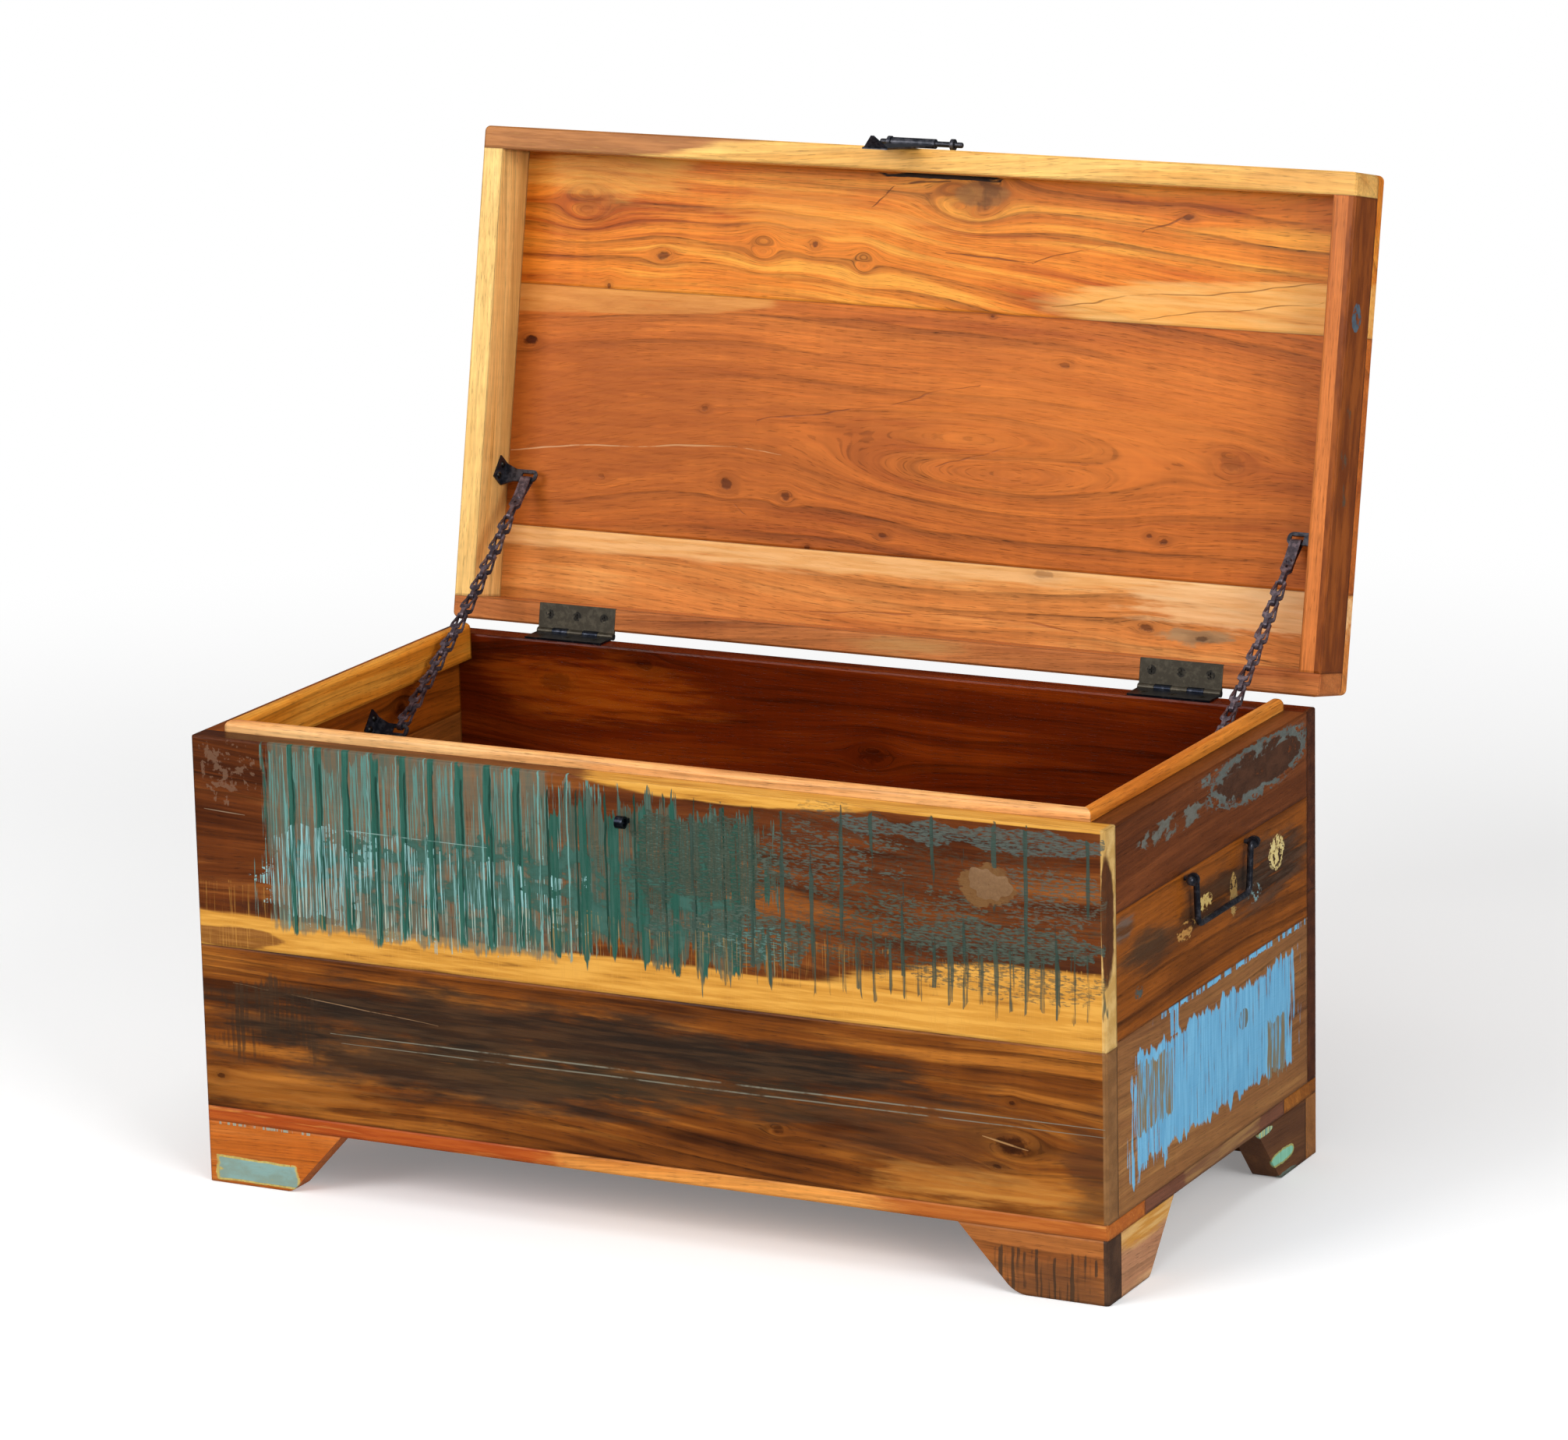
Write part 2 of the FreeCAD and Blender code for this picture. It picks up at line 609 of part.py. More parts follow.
def hasp_plate():
    """Tapered plate rolled round the rod, with a slot for the staple and a bent point."""
    half_barrel = hasp_barrel_length / 2
    half_end = hasp_end_width / 2
    inner_y = hasp_y + hasp_plate_seat
    outer_y = inner_y - hasp_plate_thickness
    start = Vector(latch_offset - half_barrel, hasp_y, hasp_z)
    barrel = cylinder(hasp_barrel_radius, start, Vector(1, 0, 0), hasp_barrel_length)
    outline = [(-half_barrel, 0), (half_barrel, 0), (half_barrel, hasp_shoulder_length),
               (half_end, hasp_plate_length), (-half_end, hasp_plate_length),
               (-half_barrel, hasp_shoulder_length)]
    corners = [Vector(latch_offset + x, outer_y, hasp_z - down) for x, down in outline]
    plate = extruded(corners, Vector(0, hasp_plate_thickness, 0))
    bend_z = hasp_z - hasp_plate_length
    half_point = hasp_point_width / 2
    tip = [(-half_end, 0), (half_end, 0), (half_point, hasp_point_length), (-half_point, hasp_point_length)]
    tip_corners = [Vector(latch_offset + x, outer_y, bend_z - down) for x, down in tip]
    point = extruded(tip_corners, Vector(0, hasp_plate_thickness, 0))
    point.rotate(Vector(0, inner_y, bend_z), Vector(1, 0, 0), -hasp_point_bend)
    wedge = cylinder(hasp_plate_thickness, Vector(latch_offset - half_end, inner_y, bend_z), Vector(1, 0, 0),
                     hasp_end_width)
    wedge = wedge.common(block(-half_width, half_width, outer_y - hasp_plate_thickness, inner_y,
                               bend_z - hasp_plate_thickness, bend_z))
    slot_z = staple_z
    slot = block(latch_offset - hasp_slot_width / 2, latch_offset + hasp_slot_width / 2,
                 outer_y - cut_overrun, inner_y + cut_overrun,
                 slot_z - hasp_slot_length / 2, slot_z + hasp_slot_length / 2)
    bore = cylinder(hasp_rod_radius + running_gap, start - Vector(cut_overrun, 0, 0), Vector(1, 0, 0),
                    hasp_barrel_length + 2 * cut_overrun)
    whole = barrel.fuse([plate, point, wedge]).cut(slot).cut(bore).removeSplitter()
    tilt = math.degrees(math.asin((hasp_reach - hasp_plate_seat - hasp_rest_gap) / hasp_height))
    whole.rotate(Vector(0, hasp_y, hasp_z), Vector(1, 0, 0), tilt)
    return whole


# Chains. A piece is drawn with its lower pivot at the origin and its upper one along +Y.
def folded_band(stations, width, far_fold):
    """Strip folded round the origin; stations give along the legs the distance of their inner faces."""
    inner, outer = chain_fold_radius, chain_fold_radius + chain_strip_thickness
    leg_outer = [(along, rise + chain_strip_thickness) for along, rise in stations]
    leg_inner = list(stations)
    length = stations[-1][0]
    top = [Vector(0, 0, outer)] + [Vector(0, along, rise) for along, rise in leg_outer]
    edges = Part.makePolygon(top).Edges
    if far_fold:
        edges.append(arc_round(length, outer, 1))
        bottom = [Vector(0, along, -rise) for along, rise in reversed(leg_outer)] + [Vector(0, 0, -outer)]
        edges += Part.makePolygon(bottom).Edges
        edges.append(arc_round(0, outer, -1))
        hole_edges = Part.makePolygon([Vector(0, 0, inner)] + [Vector(0, y, z) for y, z in leg_inner]).Edges
        hole_edges.append(arc_round(length, inner, 1))
        lower = [Vector(0, y, -z) for y, z in reversed(leg_inner)] + [Vector(0, 0, -inner)]
        hole_edges += Part.makePolygon(lower).Edges
        hole_edges.append(arc_round(0, inner, -1))
        solid = Part.Face(Part.Wire(edges)).extrude(Vector(width, 0, 0))
        solid = solid.cut(Part.Face(Part.Wire(hole_edges)).extrude(Vector(width, 0, 0)))
    else:
        back = [Vector(0, along, rise) for along, rise in reversed(leg_inner)] + [Vector(0, 0, inner)]
        edges += Part.makePolygon([top[-1]] + back).Edges
        edges.append(arc_round(0, inner, -1))
        lower = [Vector(0, 0, -inner)] + [Vector(0, along, -rise) for along, rise in leg_inner]
        lower += [Vector(0, along, -rise) for along, rise in reversed(leg_outer)] + [Vector(0, 0, -outer)]
        edges += Part.makePolygon(lower).Edges
        edges.append(arc_round(0, outer, -1))
        solid = Part.Face(Part.Wire(edges)).extrude(Vector(width, 0, 0))
    solid.translate(Vector(-width / 2, 0, 0))
    return solid


def arc_round(place, radius, way):
    """Half circle round a pivot, on its far side or on its near side."""
    ends = Vector(0, place, radius), Vector(0, place, -radius)
    return Part.Arc(ends[0], Vector(0, place + way * radius, 0), ends[1]).toShape()


def waisted_plan(width, waist, shoulder, end):
    """Plan of a folded piece: narrow up to its waist and wide from its shoulder to its end."""
    half_waist, half_full = chain_waist_width / 2, width / 2
    points = [(-half_waist, -cut_overrun), (half_waist, -cut_overrun), (half_waist, waist),
              (half_full, shoulder), (half_full, end), (-half_full, end), (-half_full, shoulder),
              (-half_waist, waist)]
    depth = chain_strip_width
    plan = extruded([Vector(x, y, -depth) for x, y in points], Vector(0, 0, 2 * depth))
    middle = (shoulder + end) / 2
    return plan.makeFillet(chain_corner_round, edges_along(plan, Vector(0, 0, 1), lambda p: p.y > middle))


def chain_link(pitch, is_open):
    """Folded link with a window at its upper end; the open one lacks its end bars."""
    half_bar = chain_bar_width / 2
    end = pitch - chain_open_setback if is_open else pitch + half_bar
    closing = pitch - chain_closing_length
    stations = [(chain_belly_place, chain_fold_radius + chain_belly_swell), (closing, chain_leg_gap / 2),
                (end, chain_leg_gap / 2)]
    band = folded_band(stations, chain_strip_width, False)
    link = band.common(waisted_plan(chain_strip_width, chain_waist_length, chain_shoulder_length, end))
    window_start = pitch - half_bar - chain_window_length
    window_end = end + cut_overrun if is_open else pitch - half_bar
    window = block(-chain_window_width / 2, chain_window_width / 2, window_start, window_end,
                   -chain_strip_width, chain_strip_width)
    corners = edges_along(window, Vector(0, 0, 1), anywhere)
    return link.cut(window.makeFillet(chain_corner_round, corners))


def chain_strap():
    """Riveted strap that hangs in the lid bracket and holds the chain's last link."""
    pinch = strap_pinch_length / 2
    stations = [(strap_rivet_place - pinch, chain_leg_gap / 2),
                (strap_rivet_place + pinch, chain_leg_gap / 2), (strap_length, chain_fold_radius)]
    band = folded_band(stations, strap_width, True)
    far = strap_length + chain_fold_radius + chain_strip_thickness + cut_overrun
    strap = band.common(waisted_plan(strap_width, strap_waist_length, strap_shoulder_length, far))
    rivet_hole = cylinder(strap_rivet_radius + seat_gap, Vector(0, strap_rivet_place, -cut_overrun),
                          Vector(0, 0, 1), 2 * cut_overrun)
    small_hole = cylinder(strap_hole_radius, Vector(0, strap_hole_place, -cut_overrun),
                          Vector(0, 0, 1), 2 * cut_overrun)
    return strap.cut(rivet_hole).cut(small_hole)


def strap_rivet():
    """Rivet through both legs of the strap, with a low head on each side."""
    half_grip = chain_leg_gap / 2 + chain_strip_thickness
    shank = cylinder(strap_rivet_radius, Vector(0, strap_rivet_place, -half_grip), Vector(0, 0, 1),
                     2 * half_grip)
    for side in (-1, 1):
        head = Part.makeCone(strap_rivet_head_radius, strap_rivet_radius, strap_rivet_head_height,
                             Vector(0, strap_rivet_place, side * half_grip), Vector(0, 0, side))
        shank = shank.fuse(head)
    return shank


# The links' pitch and the chain's slope follow from the two eyes, the tilts and the strap's length
span = complex(lid_eye_y - box_eye_y, lid_eye_z - box_eye_z)


def unit(angle):
    """Unit vector in the Y-Z plane at an elevation, as a complex number."""
    return complex(math.cos(math.radians(angle)), math.sin(math.radians(angle)))


links_sum = sum(unit(tilt) for tilt in link_tilts)
strap_vector = strap_length * unit(strap_tilt)
half_b = (links_sum * strap_vector.conjugate()).real
link_square = abs(links_sum) ** 2
root_part = math.sqrt(half_b ** 2 - link_square * (strap_length ** 2 - abs(span) ** 2))
chain_pitch = (root_part - half_b) / link_square
whole_chain = chain_pitch * links_sum + strap_vector
chain_slope = math.degrees(math.atan2(span.imag, span.real) - math.atan2(whole_chain.imag, whole_chain.real))


def hung(shape, pivot, angle):
    """The drawn piece at both chains, turned to its elevation about its lower pivot."""
    pair = []
    for side in (-1, 1):
        moved = shape.copy()
        moved.rotate(Vector(0, 0, 0), Vector(1, 0, 0), angle)
        moved.translate(Vector(side * (half_width - chain_inset), pivot.real, pivot.imag))
        pair.append(moved)
    return pair


# Cuts that the fittings make in the wood
handle_seats = [handle_eye_seat(side) for side in (-1, 1)]
side_wall_cuts = {1: handle_seats + box_bracket_holes,
                  -1: [mirrored(seat) for seat in handle_seats] + box_bracket_holes}


def boarded(pieces, cuts, form):
    """Boards of one wall, rounded by the form and cut for the fittings."""
    result = {}
    for node, piece in pieces.items():
        board = piece.common(form)
        for cut in cuts:
            board = board.cut(cut)
        result[node] = board
    return result


def wall_pieces():
    """Boards of the four walls."""
    front_back = front_y + wall_thickness
    back_front = back_y - wall_thickness
    front_joint = strip_top + front_lower_board_height
    back_joint = strip_top + back_lower_board_height
    low_joint = strip_top + side_lower_board_height
    high_joint = low_joint + side_middle_board_height
    across = (-half_width, half_width)
    front = {"front_board_lower": block(*across, front_y, front_back, strip_top, front_joint),
             "front_board_upper": block(*across, front_y, front_back, front_joint, wall_top)}
    back = {"back_board_lower": block(*across, back_front, back_y, strip_top, back_joint),
            "back_board_upper": block(*across, back_front, back_y, back_joint, wall_top)}
    walls = boarded(front, [staple_seat], box_form)
    walls.update(boarded(back, box_leaf_holes, box_form))
    for side, name in ((-1, "left"), (1, "right")):
        inner, outer = sorted((side * (half_width - wall_thickness), side * half_width))
        levels = [strip_top, low_joint, high_joint, wall_top]
        boards = {}
        for index, level_name in enumerate(("lower", "middle", "top")):
            boards[name + "_board_" + level_name] = block(inner, outer, front_back, back_front,
                                                          levels[index], levels[index + 1])
        walls.update(boarded(boards, side_wall_cuts[side], box_form))
    return walls


def base_pieces():
    """Strips under the walls and the bottom that lies on them."""
    inner_front = front_y + base_strip_width
    inner_back = back_y - base_strip_width
    across = (-half_width, half_width)
    pieces = {"base_strip_front": block(*across, front_y, inner_front, foot_height, strip_top),
              "base_strip_back": block(*across, inner_back, back_y, foot_height, strip_top)}
    for side, name in ((-1, "left"), (1, "right")):
        inner, outer = sorted((side * (half_width - base_strip_width), side * half_width))
        pieces["base_strip_" + name] = block(inner, outer, inner_front, inner_back, foot_height, strip_top)
    pieces = boarded(pieces, [], box_form)
    edge = wall_thickness + bottom_gap
    pieces["bottom_panel"] = block(edge - half_width, half_width - edge, front_y + edge, back_y - edge,
                                   strip_top, strip_top + bottom_thickness)
    return pieces


def foot_bracket(length, toe_round, start):
    """Bracket along +X from the origin: the toe end slopes from the tread out to the top."""
    outline = [(start, 0), (foot_tread_length, 0), (length, foot_height), (start, foot_height)]
    bracket = extruded([Vector(x, 0, z) for x, z in outline], Vector(0, foot_thickness, 0))
    toe = edges_along(bracket, Vector(0, 1, 0), lambda p: p.z == 0 and p.x == foot_tread_length)
    return bracket.makeFillet(toe_round, toe)


def foot_pieces():
    """Four feet, each of a bracket along the front or back and one along the side behind it."""
    pieces = {}
    for side, side_name in ((-1, "left"), (1, "right")):
        for end, end_name in ((-1, "front"), (1, "back")):
            worn = side == 1 and end == -1
            long_bracket = foot_bracket(foot_length, worn_toe_round if worn else foot_toe_round, 0)
            side_bracket = foot_bracket(foot_length, foot_toe_round, foot_thickness)
            corner = Vector(side * half_width, front_y if end == -1 else back_y, 0)
            outer_round = edges_along(long_bracket, Vector(0, 0, 1), lambda p: p.x == 0 and p.y == 0)
            long_bracket = long_bracket.makeFillet(box_corner_round, outer_round)
            side_bracket.rotate(Vector(0, 0, 0), Vector(0, 0, 1), 90)
            side_bracket = side_bracket.mirror(Vector(0, 0, 0), Vector(1, 0, 0))
            for name, bracket in (("long", long_bracket), ("side", side_bracket)):
                if side == 1:
                    bracket = mirrored(bracket)
                if end == 1:
                    bracket = bracket.mirror(Vector(0, 0, 0), Vector(0, 1, 0))
                bracket.translate(corner)
                pieces["foot_" + end_name + "_" + side_name + "_" + name] = bracket
    return pieces


def lip_strip(length):
    """Strip along +X with two rounded upper edges and mitred ends."""
    strip = block(0, length, 0, lip_thickness, lip_top - lip_height, lip_top)
    tops = edges_along(strip, Vector(1, 0, 0), lambda p: p.z > lip_top - lip_round)
    return strip.makeFillet(lip_round, tops)


def mitre(start, way_x, way_y):
    """Block that fills the ground beyond a mitre line through a corner, drawn on the level."""
    reach = box_width
    points = [start, start + Vector(way_x, way_y, 0) * reach, start + Vector(0, way_y, 0) * reach]
    low = Vector(0, 0, lip_top - lip_height - cut_overrun)
    return extruded([point + low for point in points], Vector(0, 0, lip_height + 2 * cut_overrun))


def lip_pieces():
    """Front lip and two side lips, mitred where they meet."""
    left = wall_thickness - half_width
    front = front_y + wall_thickness
    run = back_y - wall_thickness - front
    front_lip = lip_strip(box_width - 2 * wall_thickness)
    front_lip.translate(Vector(left, front, 0))
    side_lip = lip_strip(run)
    side_lip.rotate(Vector(0, 0, 0), Vector(0, 0, 1), 90)
    side_lip.translate(Vector(left + lip_thickness, front, 0))
    corner = Vector(left, front, 0)
    ground_side = mitre(corner, 1, 1)
    front_lip = front_lip.cut(ground_side).cut(mirrored(ground_side))
    side_lip = side_lip.common(ground_side)
    return {"lip_front": front_lip, "lip_left": side_lip, "lip_right": mirrored(side_lip)}


def lid_pieces():
    """Rails and boards of the lid, drawn shut, cut for the hinges, hasp and brackets, and opened."""
    across = (-half_width, half_width)
    front_inner = lid_front_y + lid_rail_thickness
    rear_inner = back_y - lid_rail_thickness
    rails = {"lid_rail_front": block(*across, lid_front_y, front_inner, rim_z, lid_rail_top),
             "lid_rail_rear": block(*across, rear_inner, back_y, rim_z, lid_rail_top)}
    for side, name in ((-1, "left"), (1, "right")):
        inner, outer = sorted((side * (half_width - lid_rail_thickness), side * half_width))
        rails["lid_rail_" + name] = block(inner, outer, front_inner, rear_inner, rim_z, lid_rail_top)
    cuts = [hasp_eye_seat(side) for side in (-1, 1)] + lid_leaf_holes
    for middle in hinge_middles:
        left = middle - hinge_length / 2 - mortise_gap
        cuts.append(block(left, left + hinge_length + 2 * mortise_gap,
                          hinge_y - hinge_leaf_width - mortise_gap, hinge_y,
                          rim_z - cut_overrun, rim_z + hinge_leaf_thickness))
    shut = boarded(rails, cuts, lid_form)
    rear_joint = back_y - lid_rear_board_width
    middle_joint = rear_joint - lid_middle_board_width
    boards = {"lid_board_rear": block(*across, rear_joint, back_y, lid_rail_top, lid_top),
              "lid_board_middle": block(*across, middle_joint, rear_joint, lid_rail_top, lid_top),
              "lid_board_front": block(*across, lid_front_y, middle_joint, lid_rail_top, lid_top)}
    shut.update(boarded(boards, [], lid_form))
    result = {node: opened(piece) for node, piece in shut.items()}
    for node in ("lid_rail_left", "lid_rail_right"):
        for hole in lid_bracket_holes:
            result[node] = result[node].cut(hole)
    return result


def hinge_pieces():
    """Leaves, pins and screws of both hinges."""
    pins = []
    for middle in hinge_middles:
        start = Vector(middle - hinge_length / 2, hinge_y, hinge_z)
        pins.append(cylinder(hinge_pin_radius, start, Vector(1, 0, 0), hinge_length))
    return {"hinge_leaves_box": [hinge_leaf(middle, True) for middle in hinge_middles],
            "hinge_leaves_lid": [opened(hinge_leaf(middle, False)) for middle in hinge_middles],
            "hinge_pins": pins,
            "screws_box": box_leaf_screws + box_bracket_screws,
            "screws_lid": [opened(screw) for screw in lid_leaf_screws] + lid_bracket_screws}


def handle_pieces():
    """Both handles and their four eyes."""
    eyes = [handle_eye(side) for side in (-1, 1)]
    bail = handle_bail()
    return {"handle_eyes": eyes + [mirrored(eye) for eye in eyes],
            "handle_right": [bail], "handle_left": [mirrored(bail)]}


def chain_pieces():
    """Links from the box bracket upwards, and the strap at the lid bracket."""
    pieces = {}
    pivot = complex(box_eye_y, box_eye_z)
    for index, tilt in enumerate(link_tilts):
        is_last = index == chain_link_count - 1
        angle = chain_slope + tilt
        pieces["chain_link_%02d" % (index + 1)] = hung(chain_link(chain_pitch, is_last), pivot, angle)
        pivot = pivot + chain_pitch * unit(angle)
    strap_angle = chain_slope + strap_tilt
    strap = hung(chain_strap(), pivot, strap_angle) + hung(strap_rivet(), pivot, strap_angle)
    pieces["chain_straps"] = strap
    return pieces


def build():
    """Makes every node and writes it."""
    os.makedirs("parts", exist_ok=True)
    single = {}
    single.update(wall_pieces())
    single.update(base_pieces())
    single.update(foot_pieces())
    single.update(lip_pieces())
    single.update(lid_pieces())
    single["lock_staple"] = staple
    single["hasp_rod"] = opened(hasp_rod())
    single["hasp_plate"] = opened(hasp_plate())
    groups = {node: [piece] for node, piece in single.items()}
    groups["hasp_eyes"] = [opened(hasp_eye(side)) for side in (-1, 1)]
    groups["chain_brackets_box"] = box_brackets
    groups["chain_brackets_lid"] = lid_brackets
    groups.update(hinge_pieces())
    groups.update(handle_pieces())
    groups.update(chain_pieces())
    for node, shapes in sorted(groups.items()):
        export(node, shapes)
    print("nodes", len(groups))
    print("hinge axis y z", round(hinge_y, 4), round(hinge_z, 4))
    print("box eye y z", round(box_eye_y, 4), round(box_eye_z, 4))
    print("lid eye y z", round(lid_eye_y, 4), round(lid_eye_z, 4))
    print("chain pitch and slope", round(chain_pitch, 4), round(chain_slope, 4))


build()
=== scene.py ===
"""Looks of the reclaimed-board storage chest, standing open on a pale floor.

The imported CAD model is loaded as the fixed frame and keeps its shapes. Every board gets its own grain,
knots, old paint, stains and scratches, laid out in metres on the plane of that board, and every piece
of hardware gets a forged iron. Colours are linear, lengths are metres and angles are degrees.
"""

from __future__ import annotations

import logging
import math
from dataclasses import dataclass
from enum import Enum
from typing import Dict, List, Sequence, Tuple, Union

import bpy
import numpy as np
from mathutils import Matrix, Vector


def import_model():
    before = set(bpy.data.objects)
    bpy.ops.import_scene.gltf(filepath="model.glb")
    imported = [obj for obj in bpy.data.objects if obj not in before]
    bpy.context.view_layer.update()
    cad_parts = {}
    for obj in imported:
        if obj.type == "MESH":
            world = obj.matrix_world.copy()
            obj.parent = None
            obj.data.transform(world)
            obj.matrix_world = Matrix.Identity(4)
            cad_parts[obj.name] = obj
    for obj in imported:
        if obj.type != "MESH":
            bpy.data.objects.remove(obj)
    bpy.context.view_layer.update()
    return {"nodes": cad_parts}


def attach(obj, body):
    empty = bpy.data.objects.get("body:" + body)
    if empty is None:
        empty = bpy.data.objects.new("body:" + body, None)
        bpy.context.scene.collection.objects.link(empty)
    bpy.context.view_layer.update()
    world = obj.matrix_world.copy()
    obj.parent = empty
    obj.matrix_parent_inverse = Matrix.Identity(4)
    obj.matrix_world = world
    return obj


LOG = logging.getLogger("chest")
Colour = Tuple[float, float, float]
Triple = Tuple[float, float, float]
Pair = Tuple[float, float]
Socket = bpy.types.NodeSocket
Feed = Union[Socket, float, Sequence[float]]

LID_OPEN = 101.5
HINGE = (0.0, 0.1460281, 0.376)
FRONT_FACE = -0.2784719
BACK_FACE = 0.1415281
SIDE_FACE = 0.4
LID_INSIDE = 0.4242
LID_OUTSIDE = 0.4382
LINKS = 11


class Plane(Enum):
    """Which axes run along a board (u), across its face (v) and through it (w)."""

    FRONT = ("X", "Z", "Y")
    SIDE = ("Y", "Z", "X")
    LEVEL = ("X", "Y", "Z")
    LID = ("X", "-Y", "Z")
    LID_SIDE = ("-Y", "Z", "X")

    @property
    def on_lid(self) -> bool:
        """Whether the plane is measured on the lid as if it were shut."""
        return self in (Plane.LID, Plane.LID_SIDE)


class Field(Enum):
    """Noise that a board's marks share: cells per metre along, across and through, then octaves."""

    BLOT = (26.0, 26.0, 26.0, 4.0)
    CRUMB = (120.0, 120.0, 120.0, 4.0)
    DRIFT = (6.0, 26.0, 26.0, 3.0)
    STREAK = (14.0, 70.0, 70.0, 4.0)
    HAIR = (14.0, 200.0, 200.0, 3.0)
    STROKE = (90.0, 9.0, 20.0, 3.0)
    BRISTLE = (330.0, 14.0, 60.0, 3.0)
    FLAKE = (40.0, 70.0, 60.0, 5.0)
    FINE = (780.0, 16.0, 60.0, 3.0)
    WRINKLE = (170.0, 640.0, 100.0, 3.0)


class Form(Enum):
    """Outline of a mark before its edge is made ragged."""

    ROUND = 0.0
    SQUARE = 1.0


@dataclass(frozen=True)
class Grain:
    """Wood of one board: three tones, growth lines per metre, how far these wander and how dark they are."""

    dark: Colour
    mid: Colour
    light: Colour
    lines: float = 70.0
    wander: float = 0.03
    figure: float = 0.4
    seed: float = 1.0
    contrast: float = 1.0


@dataclass(frozen=True)
class Knot:
    """Knot that pushes the growth lines aside; stretch lengthens it along the board."""

    u: float
    v: float
    radius: float
    stretch: float = 1.6
    depth: float = 0.8


@dataclass(frozen=True)
class Mark:
    """Stain, sapwood, worn paint, or a painted highlight, shade or shadow on a board.

    One field of noise makes the edge ragged, and a second one, the brush, wears the coat away wherever
    it is below the wear level. Comb, if given, holds the coat back between upright stripes: first stripe,
    pitch and half width, and how much of the brush's level is lost between them.
    """

    centre: Pair
    size: Pair
    first: Colour
    second: Colour
    face: float = 0.0
    depth: float = 1.0
    form: Form = Form.ROUND
    edge: float = 0.12
    ragged: float = 0.25
    tear: Field = Field.BLOT
    brush: Field = Field.FLAKE
    wear: float = 0.2
    wear_edge: float = 0.06
    opacity: float = 1.0
    lift: float = 0.0
    comb: Triple = (0.0, 0.0, 0.0)
    held_back: float = 0.25

    @property
    def combed(self) -> bool:
        """Whether the coat is held back between stripes."""
        return self.comb[1] > 0.0

    @property
    def soaked_in(self) -> bool:
        """Whether it belongs to the wood, so that knots lie over it."""
        return self.lift == 0.0 and self.opacity < 1.0


@dataclass(frozen=True)
class Scratch:
    """Fine line between two points of a board."""

    start: Pair
    end: Pair
    width: float
    colour: Colour
    wobble: float = 0.001
    face: float = 0.0
    depth: float = 0.003
    strength: float = 0.8


@dataclass(frozen=True)
class Board:
    """One board or strip: its CAD node, its plane, its wood and what lies on it."""

    node: str
    plane: Plane
    grain: Grain
    marks: Tuple[Mark, ...] = ()
    knots: Tuple[Knot, ...] = ()
    scratches: Tuple[Scratch, ...] = ()
    roughness: float = 0.38

    def fields(self) -> List[Field]:
        """Fields of noise that its marks, knots and scratches use, in a fixed order.

        Returns:
            The fields.
        """
        used = {kind for mark in self.marks for kind in (mark.tear, mark.brush)}
        if self.knots:
            used.add(Field.CRUMB)
        if self.scratches:
            used.update((Field.BLOT, Field.DRIFT))
        if any(mark.combed for mark in self.marks):
            used.update((Field.STROKE, Field.DRIFT))
        return [kind for kind in Field if kind in used]


